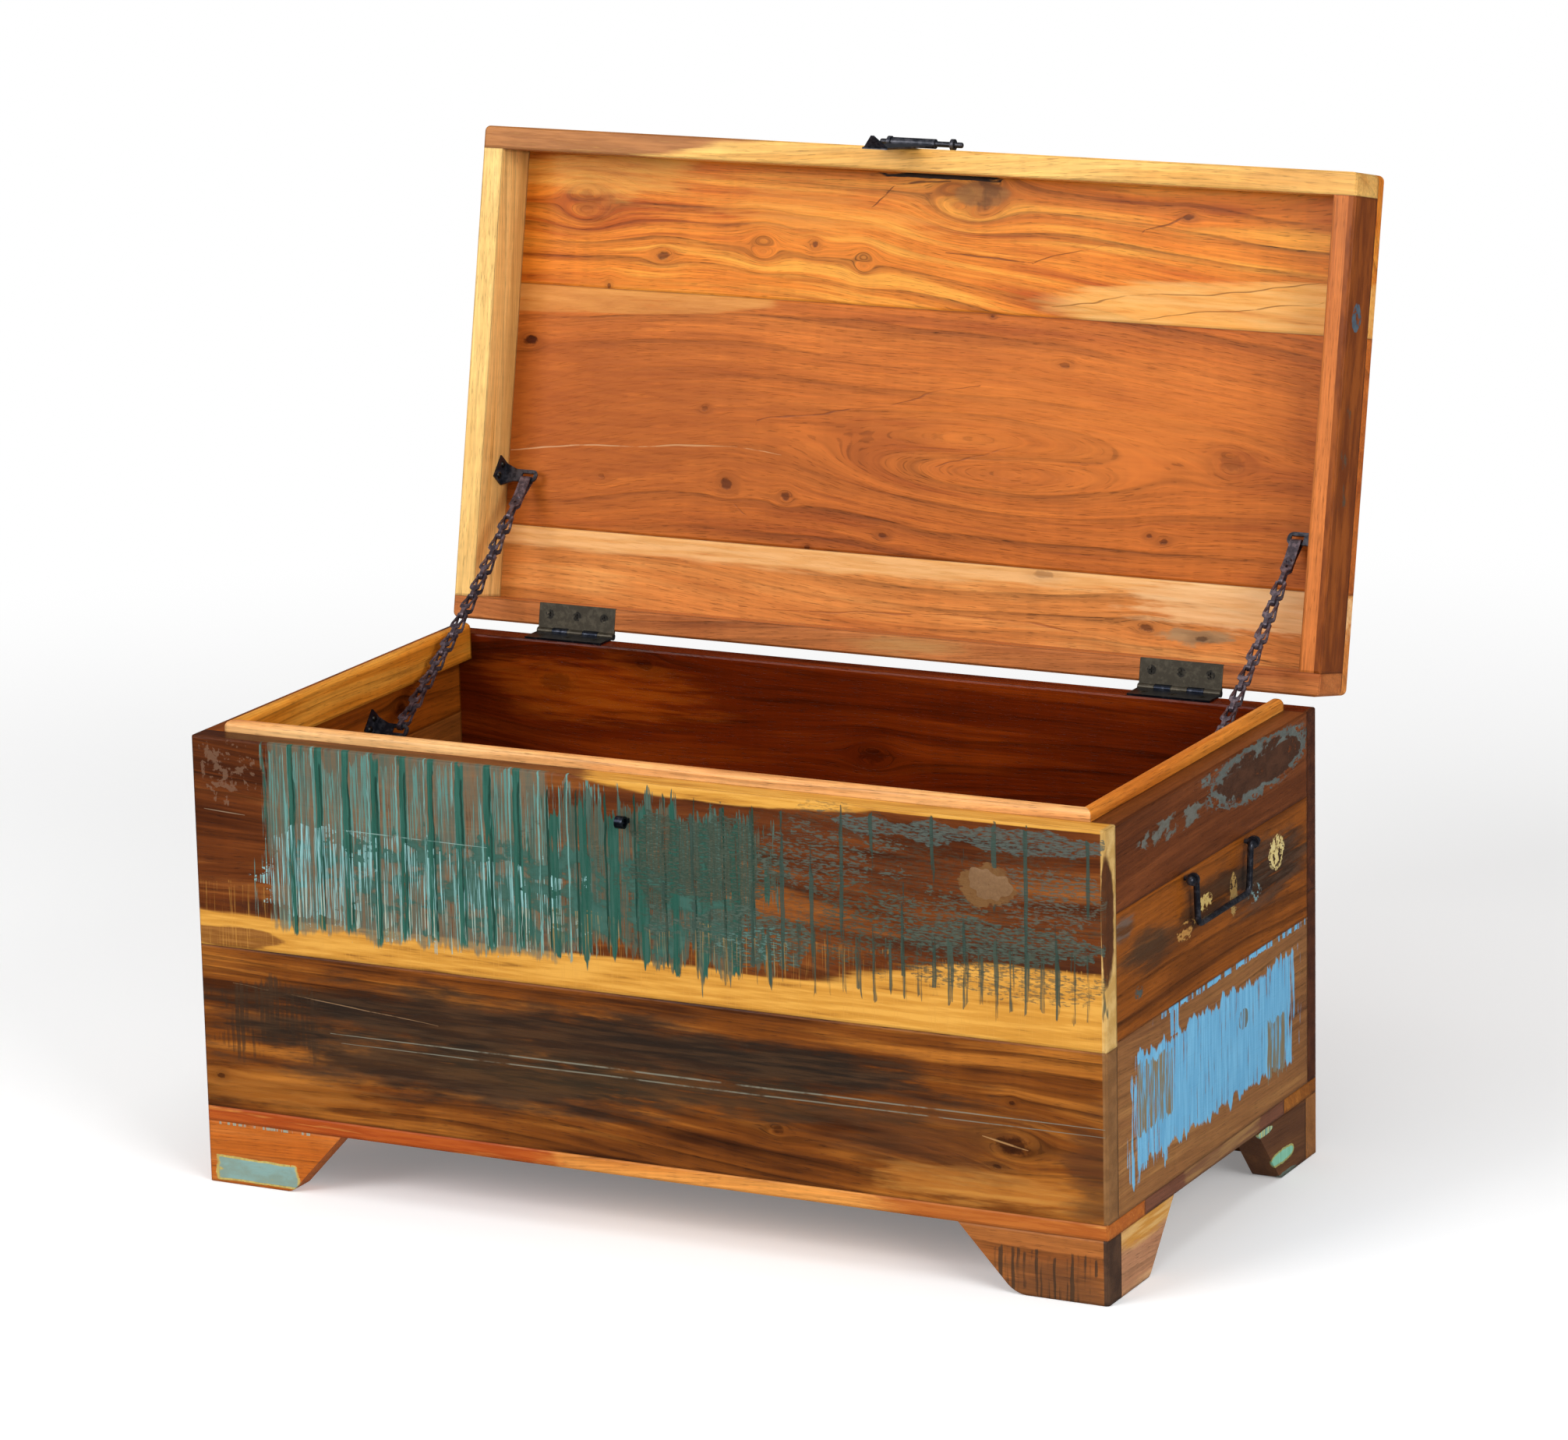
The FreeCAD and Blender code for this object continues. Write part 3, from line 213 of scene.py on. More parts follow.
class Graph:
    """Adds nodes to one node tree by short calls."""

    def __init__(self, tree: bpy.types.NodeTree) -> None:
        """Args: tree: the node tree that is added to."""
        self.tree = tree

    def add(self, kind: str, **settings: object) -> bpy.types.Node:
        """New node of a kind with its settings.

        Args:
            kind: Blender's name of the node type.
            settings: properties set on it.

        Returns:
            The node.
        """
        node = self.tree.nodes.new(kind)
        for name, value in settings.items():
            setattr(node, name, value)
        return node

    def feed(self, socket: Socket, value: Feed) -> None:
        """Links a socket to an output, or sets its own value.

        Args:
            socket: the input.
            value: an output socket, a number, a vector or a linear colour.
        """
        if isinstance(value, Socket):
            self.tree.links.new(value, socket)
        elif socket.type == "RGBA":
            socket.default_value = (value[0], value[1], value[2], 1.0)
        else:
            socket.default_value = value

    def fill(self, node: bpy.types.Node, values: Sequence[Feed]) -> bpy.types.Node:
        """Feeds a node's inputs in order.

        Args:
            node: the node.
            values: one for each of its first inputs.

        Returns:
            The node.
        """
        for socket, value in zip(node.inputs, values):
            self.feed(socket, value)
        return node

    def math(self, operation: str, *values: Feed, clamp: bool = False) -> Socket:
        """Math node.

        Args:
            operation: its operation.
            values: its inputs in order.
            clamp: whether the result is kept from 0 to 1.

        Returns:
            Its output.
        """
        return self.fill(self.add("ShaderNodeMath", operation=operation, use_clamp=clamp), values).outputs[0]

    def plus(self, first: Feed, second: Feed) -> Socket:
        """Sum of two numbers."""
        return self.math("ADD", first, second)

    def minus(self, first: Feed, second: Feed) -> Socket:
        """First number less the second."""
        return self.math("SUBTRACT", first, second)

    def times(self, first: Feed, second: Feed) -> Socket:
        """Product of two numbers."""
        return self.math("MULTIPLY", first, second)

    def vector(self, operation: str, *values: Feed) -> Socket:
        """Vector math node.

        Args:
            operation: its operation.
            values: its inputs in order.

        Returns:
            The number for a length, otherwise the vector.
        """
        node = self.fill(self.add("ShaderNodeVectorMath", operation=operation), values)
        return node.outputs["Value" if operation == "LENGTH" else "Vector"]

    def scaled(self, vector: Feed, factor: Feed) -> Socket:
        """Vector or colour times a number.

        Args:
            vector: the vector.
            factor: the number.

        Returns:
            The product.
        """
        node = self.add("ShaderNodeVectorMath", operation="SCALE")
        self.feed(node.inputs["Vector"], vector)
        self.feed(node.inputs["Scale"], factor)
        return node.outputs["Vector"]

    def mix(self, share: Feed, first: Feed, second: Feed, blend: str = "MIX") -> Socket:
        """Colour mix.

        Args:
            share: how much of the second colour.
            first: colour at 0.
            second: colour at 1.
            blend: blend type.

        Returns:
            The mixed colour.
        """
        node = self.add("ShaderNodeMix", data_type="RGBA", blend_type=blend)
        # Of the node's inputs for numbers, vectors and colours, the last two that are open are colours
        for index, value in zip((0, 6, 7), (share, first, second)):
            self.feed(node.inputs[index], value)
        return node.outputs[2]

    def noise(self, place: Feed, detail: float, roughness: float = 0.55) -> Socket:
        """Noise of unit scale at a place that is already scaled.

        Args:
            place: vector.
            detail: number of octaves added.
            roughness: share of each octave.

        Returns:
            A field round 0.5.
        """
        node = self.add("ShaderNodeTexNoise", noise_dimensions="3D")
        self.feed(node.inputs["Vector"], place)
        node.inputs["Scale"].default_value = 1.0
        node.inputs["Detail"].default_value = detail
        node.inputs["Roughness"].default_value = roughness
        return node.outputs[0]

    def cells(self, place: Feed, scale: Triple, detail: float, roughness: float = 0.55) -> Socket:
        """Noise with its own number of cells per metre along each axis.

        Args:
            place: position in metres.
            scale: cells per metre along each axis.
            detail: number of octaves added.
            roughness: share of each octave.

        Returns:
            A field round 0.5.
        """
        return self.noise(self.vector("MULTIPLY", place, scale), detail, roughness)

    def centred(self, noise: Socket, gain: float) -> Socket:
        """Noise taken to lie round nought and scaled."""
        return self.math("MULTIPLY_ADD", noise, gain, -0.5 * gain)

    def smooth(self, value: Feed, low: Feed, high: Feed) -> Socket:
        """Smooth step from 0 at low to 1 at high; low may be the larger one.

        Args:
            value: what is compared.
            low: value that gives 0.
            high: value that gives 1.

        Returns:
            The step.
        """
        node = self.add("ShaderNodeMapRange", interpolation_type="SMOOTHSTEP", clamp=True)
        self.feed(node.inputs["Value"], value)
        self.feed(node.inputs["From Min"], low)
        self.feed(node.inputs["From Max"], high)
        return node.outputs[0]

    def split(self, vector: Feed) -> Tuple[Socket, ...]:
        """The three parts of a vector."""
        return tuple(self.fill(self.add("ShaderNodeSeparateXYZ"), (vector,)).outputs)

    def join(self, x: Feed, y: Feed, z: Feed) -> Socket:
        """Vector of three parts."""
        return self.fill(self.add("ShaderNodeCombineXYZ"), (x, y, z)).outputs[0]

    def emission(self, strength: float) -> Socket:
        """White glow.

        Args:
            strength: how strong it is.

        Returns:
            The shader.
        """
        node = self.add("ShaderNodeEmission")
        node.inputs["Strength"].default_value = strength
        return node.outputs[0]

    def either(self, share: Feed, first: Socket, second: Socket) -> Socket:
        """First shader where the share is 0, second where it is 1."""
        return self.fill(self.add("ShaderNodeMixShader"), (share, first, second)).outputs[0]

    def group(self, tree: bpy.types.NodeTree, **values: Feed) -> bpy.types.Node:
        """Node that runs a group; an underscore in a keyword stands for a space in the input's name.

        Args:
            tree: the group.
            values: its inputs, by name.

        Returns:
            The node.
        """
        node = self.add("ShaderNodeGroup", node_tree=tree)
        for name, value in values.items():
            self.feed(node.inputs[name.replace("_", " ")], value)
        return node


class Surface:
    """New material, with its graph and its Principled shader."""

    def __init__(self, name: str) -> None:
        """Args: name: name of the material."""
        self.material = bpy.data.materials.new(name)
        self.material.use_nodes = True
        self.nodes = self.material.node_tree.nodes
        self.graph = Graph(self.material.node_tree)
        self.shader = self.nodes["Principled BSDF"]

    def place(self) -> Socket:
        """Position on the piece in metres."""
        return self.graph.add("ShaderNodeTexCoord").outputs["Object"]

    def link(self, name: str, value: Feed) -> None:
        """Feeds one input of the shader."""
        self.graph.feed(self.shader.inputs[name], value)

    def settle(self, **values: float) -> None:
        """Sets inputs of the shader to plain numbers; an underscore stands for a space."""
        for name, value in values.items():
            self.shader.inputs[name.replace("_", " ")].default_value = value

    def relief(self, height: Feed) -> None:
        """Bumps the surface.

        Args:
            height: its height in metres.
        """
        bump = self.graph.add("ShaderNodeBump")
        bump.inputs["Distance"].default_value = 1.0
        self.graph.feed(bump.inputs["Height"], height)
        self.link("Normal", bump.outputs[0])

    def cover(self, piece: bpy.types.Object) -> None:
        """Puts the material in every slot of a piece.

        Args:
            piece: the object.
        """
        slots = piece.data.materials
        if not slots:
            slots.append(self.material)
        for index in range(len(slots)):
            slots[index] = self.material


class Group:
    """A node group that is built once and shared by all boards."""

    def __init__(self, name: str, inputs: str, outputs: str) -> None:
        """Makes the group's tree and its ends.

        Args:
            name: name of the group.
            inputs: its inputs, parted by commas, with a colon before the kind of what isn't a number.
            outputs: the same for its outputs.
        """
        self.tree = bpy.data.node_groups.new(name, "ShaderNodeTree")
        for side, sockets in (("INPUT", inputs), ("OUTPUT", outputs)):
            for socket in sockets.split(", "):
                label, _, kind = socket.partition(":")
                self.tree.interface.new_socket(name=label, in_out=side,
                                               socket_type="NodeSocket" + (kind or "Float"))
        self.graph = Graph(self.tree)
        self.source = self.graph.add("NodeGroupInput").outputs
        self.sink = self.graph.add("NodeGroupOutput").inputs

    def give(self, name: str, value: Feed) -> None:
        """Feeds one output of the group."""
        self.graph.feed(self.sink[name], value)


@dataclass(frozen=True)
class GrainGroup:
    """Wood: cells per metre of each noise along, across and through the board, and how strong each is."""

    seed_step: Triple = (3.7, 7.1, 5.3)
    slow: Triple = (1.2, 5.0, 5.0)
    sway: Triple = (3.5, 12.0, 12.0)
    streak: Triple = (3.0, 70.0, 70.0)
    cloud: Triple = (3.2, 11.0, 11.0)
    fibre: Triple = (16.0, 520.0, 520.0)
    ripple: Triple = (90.0, 9.0, 9.0)
    pore: Triple = (75.0, 1250.0, 1250.0)
    rough: float = 0.6
    slant: float = 0.45
    wander_gain: float = 4.0
    sway_turns: float = 1.5
    strength_per_metre: float = 2.0
    strength_per_line: float = 0.41
    late_power: float = 3.5
    late_end: float = 0.93
    strength_steps: Pair = (0.38, 0.62)
    streak_share: float = 0.55
    dark_to_mid: Pair = (0.34, 0.5)
    mid_to_light: Pair = (0.5, 0.66)
    pore_steps: Pair = (0.60, 0.70)
    fibre_shade: float = 0.9
    ripple_shade: float = 0.22
    pore_shade: float = 0.30
    line_depth: float = 0.00007
    pore_depth: float = 0.00008
    fibre_height: float = 0.00010

    def build(self) -> bpy.types.NodeTree:
        """Growth lines are the fraction of a wandering height over the face, streaks are long thin noise.

        Returns:
            The group, with colour and height in metres.
        """
        group = Group("wood_grain", "Place:Vector, Dark:Color, Mid:Color, Light:Color, Lines, Wander, "
                                    "Figure, Seed, Contrast", "Colour:Color, Height")
        g, source = group.graph, group.source
        shift = g.join(*(g.times(source["Seed"], step) for step in self.seed_step))
        place = g.vector("ADD", source["Place"], shift)
        slow = g.cells(place, self.slow, 1.0)
        sway = g.cells(place, self.sway, 2.0)
        u, v, w = g.split(place)
        wander = g.times(g.minus(slow, 0.5), g.times(source["Wander"], self.wander_gain))
        height = g.plus(g.plus(v, g.times(w, self.slant)), wander)
        phase = g.plus(g.times(height, source["Lines"]), g.times(sway, self.sway_turns))
        saw = g.math("FRACT", phase)
        strength = g.noise(g.join(g.times(u, self.strength_per_metre), g.times(phase, self.strength_per_line),
                                  0.0), 2.0)
        late = g.times(g.math("POWER", saw, self.late_power), g.smooth(saw, 1.0, self.late_end))
        line = g.times(late, g.smooth(strength, *self.strength_steps))
        swept = g.join(u, height, w)
        streak = g.cells(swept, self.streak, 3.0, self.rough)
        cloud = g.cells(place, self.cloud, 3.0, self.rough)
        tone = g.plus(g.times(streak, self.streak_share), g.times(cloud, 1.0 - self.streak_share))
        tone = g.plus(g.times(g.minus(tone, 0.5), source["Contrast"]), 0.5)
        low = g.mix(g.smooth(tone, *self.dark_to_mid), source["Dark"], source["Mid"])
        colour = g.mix(g.smooth(tone, *self.mid_to_light), low, source["Light"])
        fibre = g.cells(swept, self.fibre, 2.0, self.rough)
        ripple = g.cells(place, self.ripple, 2.0)
        pore = g.smooth(g.cells(swept, self.pore, 1.0), *self.pore_steps)
        shade = g.plus(g.times(g.minus(fibre, 0.5), self.fibre_shade),
                       g.times(g.minus(ripple, 0.5), self.ripple_shade))
        shade = g.minus(g.plus(shade, 1.0), g.times(line, source["Figure"]))
        shade = g.minus(shade, g.times(pore, self.pore_shade))
        group.give("Colour", g.scaled(colour, shade))
        dip = g.plus(g.times(line, self.line_depth), g.times(pore, self.pore_depth))
        group.give("Height", g.minus(g.times(fibre, self.fibre_height), dip))
        return group.tree


@dataclass(frozen=True)
class KnotGroup:
    """Knot: how far it pushes the lines, and where its core and the halo round it end, in its own radii."""

    push: float = 2.2
    soften: float = 0.8
    wobble: float = 1.3
    core: Pair = (1.05, 0.45)
    halo: Pair = (2.6, 0.8)
    halo_strength: float = 0.35

    def build(self) -> bpy.types.NodeTree:
        """The height is scaled as in a flow round a post, by radius squared over distance squared.

        Returns:
            The group, with the pushed height and the darkness of the core.
        """
        group = Group("wood_knot", "U, V, Wobble, Centre U, Centre V, Radius, Stretch", "V, Core")
        g, source = group.graph, group.source
        du = g.math("DIVIDE", g.minus(source["U"], source["Centre U"]), source["Stretch"])
        dv = g.minus(source["V"], source["Centre V"])
        square = g.plus(g.times(du, du), g.times(dv, dv))
        radius = g.times(source["Radius"], source["Radius"])
        push = g.math("DIVIDE", g.times(radius, self.push), g.plus(square, g.times(radius, self.soften)))
        group.give("V", g.minus(source["V"], g.times(dv, push)))
        distance = g.math("DIVIDE", g.math("SQRT", square), source["Radius"])
        distance = g.plus(distance, g.times(source["Wobble"], self.wobble))
        core = g.smooth(distance, *self.core)
        halo = g.times(g.smooth(distance, *self.halo), self.halo_strength)
        group.give("Core", g.math("MAXIMUM", core, halo))
        return group.tree


@dataclass(frozen=True)
class MarkGroup:
    """Mark: how much of the brush's level is lost where the mask fades."""

    fading: float = 0.3

    def build(self) -> bpy.types.NodeTree:
        """The distance from its centre in its own sizes, plus noise, gives the mask, and a brush wears it.

        Returns:
            The group, with colour, height in metres and cover.
        """
        group = Group("wood_mark", "U, V, W, Under:Color, Base, Centre U, Centre V, Centre W, Size U, "
                                   "Size V, Size W, Square, Edge, Ragged, Tear, Brush, Tint, Wear, "
                                   "Wear Edge, First:Color, Second:Color, Opacity, Lift, Held",
                      "Colour:Color, Height, Cover")
        g, source = group.graph, group.source
        parts = []
        for axis in "UVW":
            offset = g.minus(source[axis], source["Centre " + axis])
            parts.append(g.math("ABSOLUTE", g.math("DIVIDE", offset, source["Size " + axis])))
        box = g.math("MAXIMUM", g.math("MAXIMUM", parts[0], parts[1]), parts[2])
        squares = [g.times(part, part) for part in parts]
        rounded = g.math("SQRT", g.plus(g.plus(squares[0], squares[1]), squares[2]))
        distance = g.plus(rounded, g.times(g.minus(box, rounded), source["Square"]))
        distance = g.plus(distance, g.times(source["Tear"], source["Ragged"]))
        mask = g.smooth(distance, g.plus(1.0, source["Edge"]), g.minus(1.0, source["Edge"]))
        brush = g.minus(source["Brush"], g.times(g.minus(1.0, mask), self.fading))
        brush = g.minus(brush, source["Held"])
        hold = g.smooth(brush, g.minus(source["Wear"], source["Wear Edge"]),
                        g.plus(source["Wear"], source["Wear Edge"]))
        cover = g.times(hold, mask)
        colour = g.mix(source["Tint"], source["First"], source["Second"])
        group.give("Colour", g.mix(g.times(cover, source["Opacity"]), source["Under"], colour))
        group.give("Height", g.plus(source["Base"], g.times(cover, source["Lift"])))
        group.give("Cover", cover)
        return group.tree


@dataclass(frozen=True)
class ScratchGroup:
    """Scratch: share of its width left at the ends, and where its edge starts."""

    end_width: float = 0.4
    core: float = 0.3

    def build(self) -> bpy.types.NodeTree:
        """Distance to a straight run between two points, with a slow wobble and thin ends.

        Returns:
            The group, with its mask.
        """
        group = Group("wood_scratch", "U, V, Sway, Patchy, Start U, Start V, Run U, Run V, Width, Wobble",
                      "Mask")
        g, source = group.graph, group.source
        du = g.minus(source["U"], source["Start U"])
        dv = g.minus(source["V"], source["Start V"])
        along = g.plus(g.times(du, source["Run U"]), g.times(dv, source["Run V"]))
        length = g.plus(g.times(source["Run U"], source["Run U"]), g.times(source["Run V"], source["Run V"]))
        share = g.math("DIVIDE", along, length, clamp=True)
        miss_u = g.minus(du, g.times(share, source["Run U"]))
        miss_v = g.minus(dv, g.times(share, source["Run V"]))
        miss_v = g.plus(miss_v, g.times(source["Sway"], source["Wobble"]))
        distance = g.math("SQRT", g.plus(g.times(miss_u, miss_u), g.times(miss_v, miss_v)))
        # Share times what is left of it is a quarter in the middle, so four times that is the taper
        taper = g.times(g.times(share, g.minus(1.0, share)), 4.0)
        width = g.times(source["Width"], g.plus(g.times(taper, 1.0 - self.end_width), self.end_width))
        mask = g.smooth(distance, width, g.times(width, self.core))
        group.give("Mask", g.times(mask, source["Patchy"]))
        return group.tree


@dataclass(frozen=True)
class CombGroup:
    """Comb: sway of the stripes in metres, and where their edge starts and ends in half widths."""

    sway: float = 0.002
    edge: Pair = (0.55, 1.3)
    turns_ahead: float = 100.0

    def build(self) -> bpy.types.NodeTree:
        """Distance along the board to the nearest of evenly spaced upright stripes of varying width.

        Returns:
            The group, with how far a place is from a stripe, from 0 on it to 1 between them.
        """
        group = Group("comb_stripes", "U, Sway, Fat, Start, Pitch, Width", "Held")
        g, source = group.graph, group.source
        u = g.plus(source["U"], g.times(source["Sway"], self.sway))
        turns = g.math("DIVIDE", g.minus(u, source["Start"]), source["Pitch"])
        # The whole turns added keep the number above nought, and half a turn puts a stripe at its middle
        nearest = g.minus(g.math("FRACT", g.plus(turns, self.turns_ahead + 0.5)), 0.5)
        distance = g.times(g.math("ABSOLUTE", nearest), source["Pitch"])
        width = g.times(source["Width"], g.plus(1.0, source["Fat"]))
        group.give("Held", g.smooth(distance, *(g.times(width, edge) for edge in self.edge)))
        return group.tree


class RimGroup:
    """Rim: distance to the nearest edge of a board's face."""

    @staticmethod
    def build() -> bpy.types.NodeTree:
        """Of the distances to the box's walls on the three axes, the middle one.

        Returns:
            The group, with the distance in metres.
        """
        group = Group("board_edge", "Place:Vector, Low:Vector, High:Vector", "Distance")
        g, source = group.graph, group.source
        below = g.split(g.vector("SUBTRACT", source["Place"], source["Low"]))
        above = g.split(g.vector("SUBTRACT", source["High"], source["Place"]))
        near = [g.math("ABSOLUTE", g.math("MINIMUM", *walls)) for walls in zip(below, above)]
        # On a face one of the three is nought, so the middle value is the distance to the nearest rim
        least = g.math("MINIMUM", near[0], near[1])
        most = g.math("MAXIMUM", near[0], near[1])
        group.give("Distance", g.math("MAXIMUM", least, g.math("MINIMUM", most, near[2])))
        return group.tree


class WoodGroups:
    """The node groups that boards are made of."""

    def __init__(self) -> None:
        """Builds all groups."""
        self.grain = GrainGroup().build()
        self.knot = KnotGroup().build()
        self.mark = MarkGroup().build()
        self.scratch = ScratchGroup().build()
        self.comb = CombGroup().build()
        self.rim = RimGroup.build()


@dataclass(frozen=True)
class WoodFinish:
    """Wax, gloss, rims and knots that all boards share; lengths are metres."""

    octave_share: float = 0.62
    nudge: float = 1e-9
    knot_tint: Colour = (0.16, 0.11, 0.10)
    knot_depth: float = 0.00015
    scratch_depth: float = 0.0002
    patchy: Pair = (0.36, 0.50)
    sway: float = 2.0
    fatness: float = 2.4
    tear: float = 4.0
    tint: Pair = (0.40, 0.64)
    seam: Pair = (0.0009, 0.0002)
    seam_tint: Colour = (0.2, 0.16, 0.15)
    seam_strength: float = 0.55
    rounding: float = 0.0022
    rounding_depth: float = 0.0009
    smear: Triple = (18.0, 40.0, 40.0)
    smear_gloss: float = 0.16
    paint_dullness: float = 0.10
    wax: float = 0.07
    wax_roughness: float = 0.16
    shine: float = 0.12


class BoardSkin:
    """Colour and height of one board while its layers go on."""

    def __init__(self, board: Board, look: WoodFinish, groups: WoodGroups, g: Graph, place: Socket) -> None:
        """Makes the noises that the layers share, and the bare wood pushed aside by its knots.

        Args:
            board: what it is made of.
            look: what all boards share.
            groups: the shared node groups.
            g: the material's graph.
            place: position along, across and through the board.
        """
        self.board, self.look, self.groups, self.g = board, look, groups, g
        u, v, w = g.split(place)
        self.noises = {kind: g.cells(place, kind.value[:3], kind.value[3], look.octave_share)
                       for kind in board.fields()}
        pushed = v
        self.cores: List[Tuple[Socket, float]] = []
        for knot in board.knots:
            node = g.group(groups.knot, U=u, V=pushed, Wobble=g.centred(self.noises[Field.CRUMB], 1.0),
                           Centre_U=knot.u, Centre_V=knot.v, Radius=knot.radius, Stretch=knot.stretch)
            pushed = node.outputs["V"]
            self.cores.append((node.outputs["Core"], knot.depth))
        grain = board.grain
        wood = g.group(groups.grain, Place=g.join(u, pushed, w), Dark=grain.dark, Mid=grain.mid,
                       Light=grain.light, Lines=grain.lines, Wander=grain.wander, Figure=grain.figure,
                       Seed=grain.seed, Contrast=grain.contrast)
        self.colour: Socket = wood.outputs["Colour"]
        self.height: Socket = wood.outputs["Height"]
        # The nudge of a billionth makes the renderer finish the wood before it starts on the marks
        self.u, self.v, self.w = g.math("MULTIPLY_ADD", self.height, look.nudge, u), v, w
        self.dull: Feed = 0.0

    def lay(self, mark: Mark) -> None:
        """Lays one mark over what is there.

        Args:
            mark: what is laid.
        """
        g = self.g
        held: Feed = 0.0
        if mark.combed:
            start, pitch, width = mark.comb
            stripes = g.group(self.groups.comb, U=self.u,
                              Sway=g.centred(self.noises[Field.DRIFT], self.look.sway),
                              Fat=g.centred(self.noises[Field.STROKE], self.look.fatness),
                              Start=start, Pitch=pitch, Width=width)
            held = g.times(stripes.outputs["Held"], mark.held_back)
        tear = g.centred(self.noises[mark.tear], self.look.tear)
        brush = self.noises[mark.brush]
        layer = g.group(
            self.groups.mark, U=self.u, V=self.v, W=self.w, Under=self.colour, Base=self.height,
            Centre_U=mark.centre[0], Centre_V=mark.centre[1], Centre_W=mark.face, Size_U=mark.size[0],
            Size_V=mark.size[1], Size_W=mark.depth, Square=mark.form.value, Edge=mark.edge,
            Ragged=mark.ragged, Tear=tear, Brush=brush, Tint=g.smooth(brush, *self.look.tint),
            Wear=mark.wear, Wear_Edge=mark.wear_edge, First=mark.first, Second=mark.second,
            Opacity=mark.opacity, Lift=mark.lift, Held=held).outputs
        self.colour = layer["Colour"]
        if mark.lift:
            self.height = layer["Height"]
        if mark.lift > 0.0:
            self.dull = g.math("MAXIMUM", self.dull, layer["Cover"])

    def darken_knots(self) -> None:
        """Darkens and sinks the core of every knot."""
        g = self.g
        for core, depth in self.cores:
            dark = g.mix(1.0, self.colour, self.look.knot_tint, "MULTIPLY")
            self.colour = g.mix(g.times(core, depth), self.colour, dark)
            self.height = g.minus(self.height, g.times(core, self.look.knot_depth))

    def score(self, scratch: Scratch) -> None:
        """Draws one scratch over what is there.

        Args:
            scratch: the line.
        """
        g = self.g
        near = g.smooth(g.math("ABSOLUTE", g.minus(self.w, scratch.face)), scratch.depth, 0.0)
        patchy = g.smooth(self.noises[Field.BLOT], *self.look.patchy)
        sway = g.centred(self.noises[Field.DRIFT], self.look.sway)
        node = g.group(self.groups.scratch, U=self.u, V=self.v, Sway=sway, Patchy=g.times(patchy, near),
                       Width=scratch.width, Wobble=scratch.wobble, Start_U=scratch.start[0],
                       Start_V=scratch.start[1], Run_U=scratch.end[0] - scratch.start[0],
                       Run_V=scratch.end[1] - scratch.start[1])
        mask = g.times(node.outputs["Mask"], scratch.strength)
        self.colour = g.mix(mask, self.colour, scratch.colour)
        self.height = g.minus(self.height, g.times(mask, self.look.scratch_depth))

    def round_rim(self, rim: Socket) -> None:
        """Darkens the board's edges and bends them back.

        Args:
            rim: distance to the nearest edge.
        """
        g, look = self.g, self.look
        seam = g.smooth(rim, *look.seam)
        dark = g.mix(1.0, self.colour, look.seam_tint, "MULTIPLY")
        self.colour = g.mix(g.times(seam, look.seam_strength), self.colour, dark)
        bent = g.times(g.smooth(rim, look.rounding, 0.0), look.rounding_depth)
        self.height = g.minus(self.height, bent)


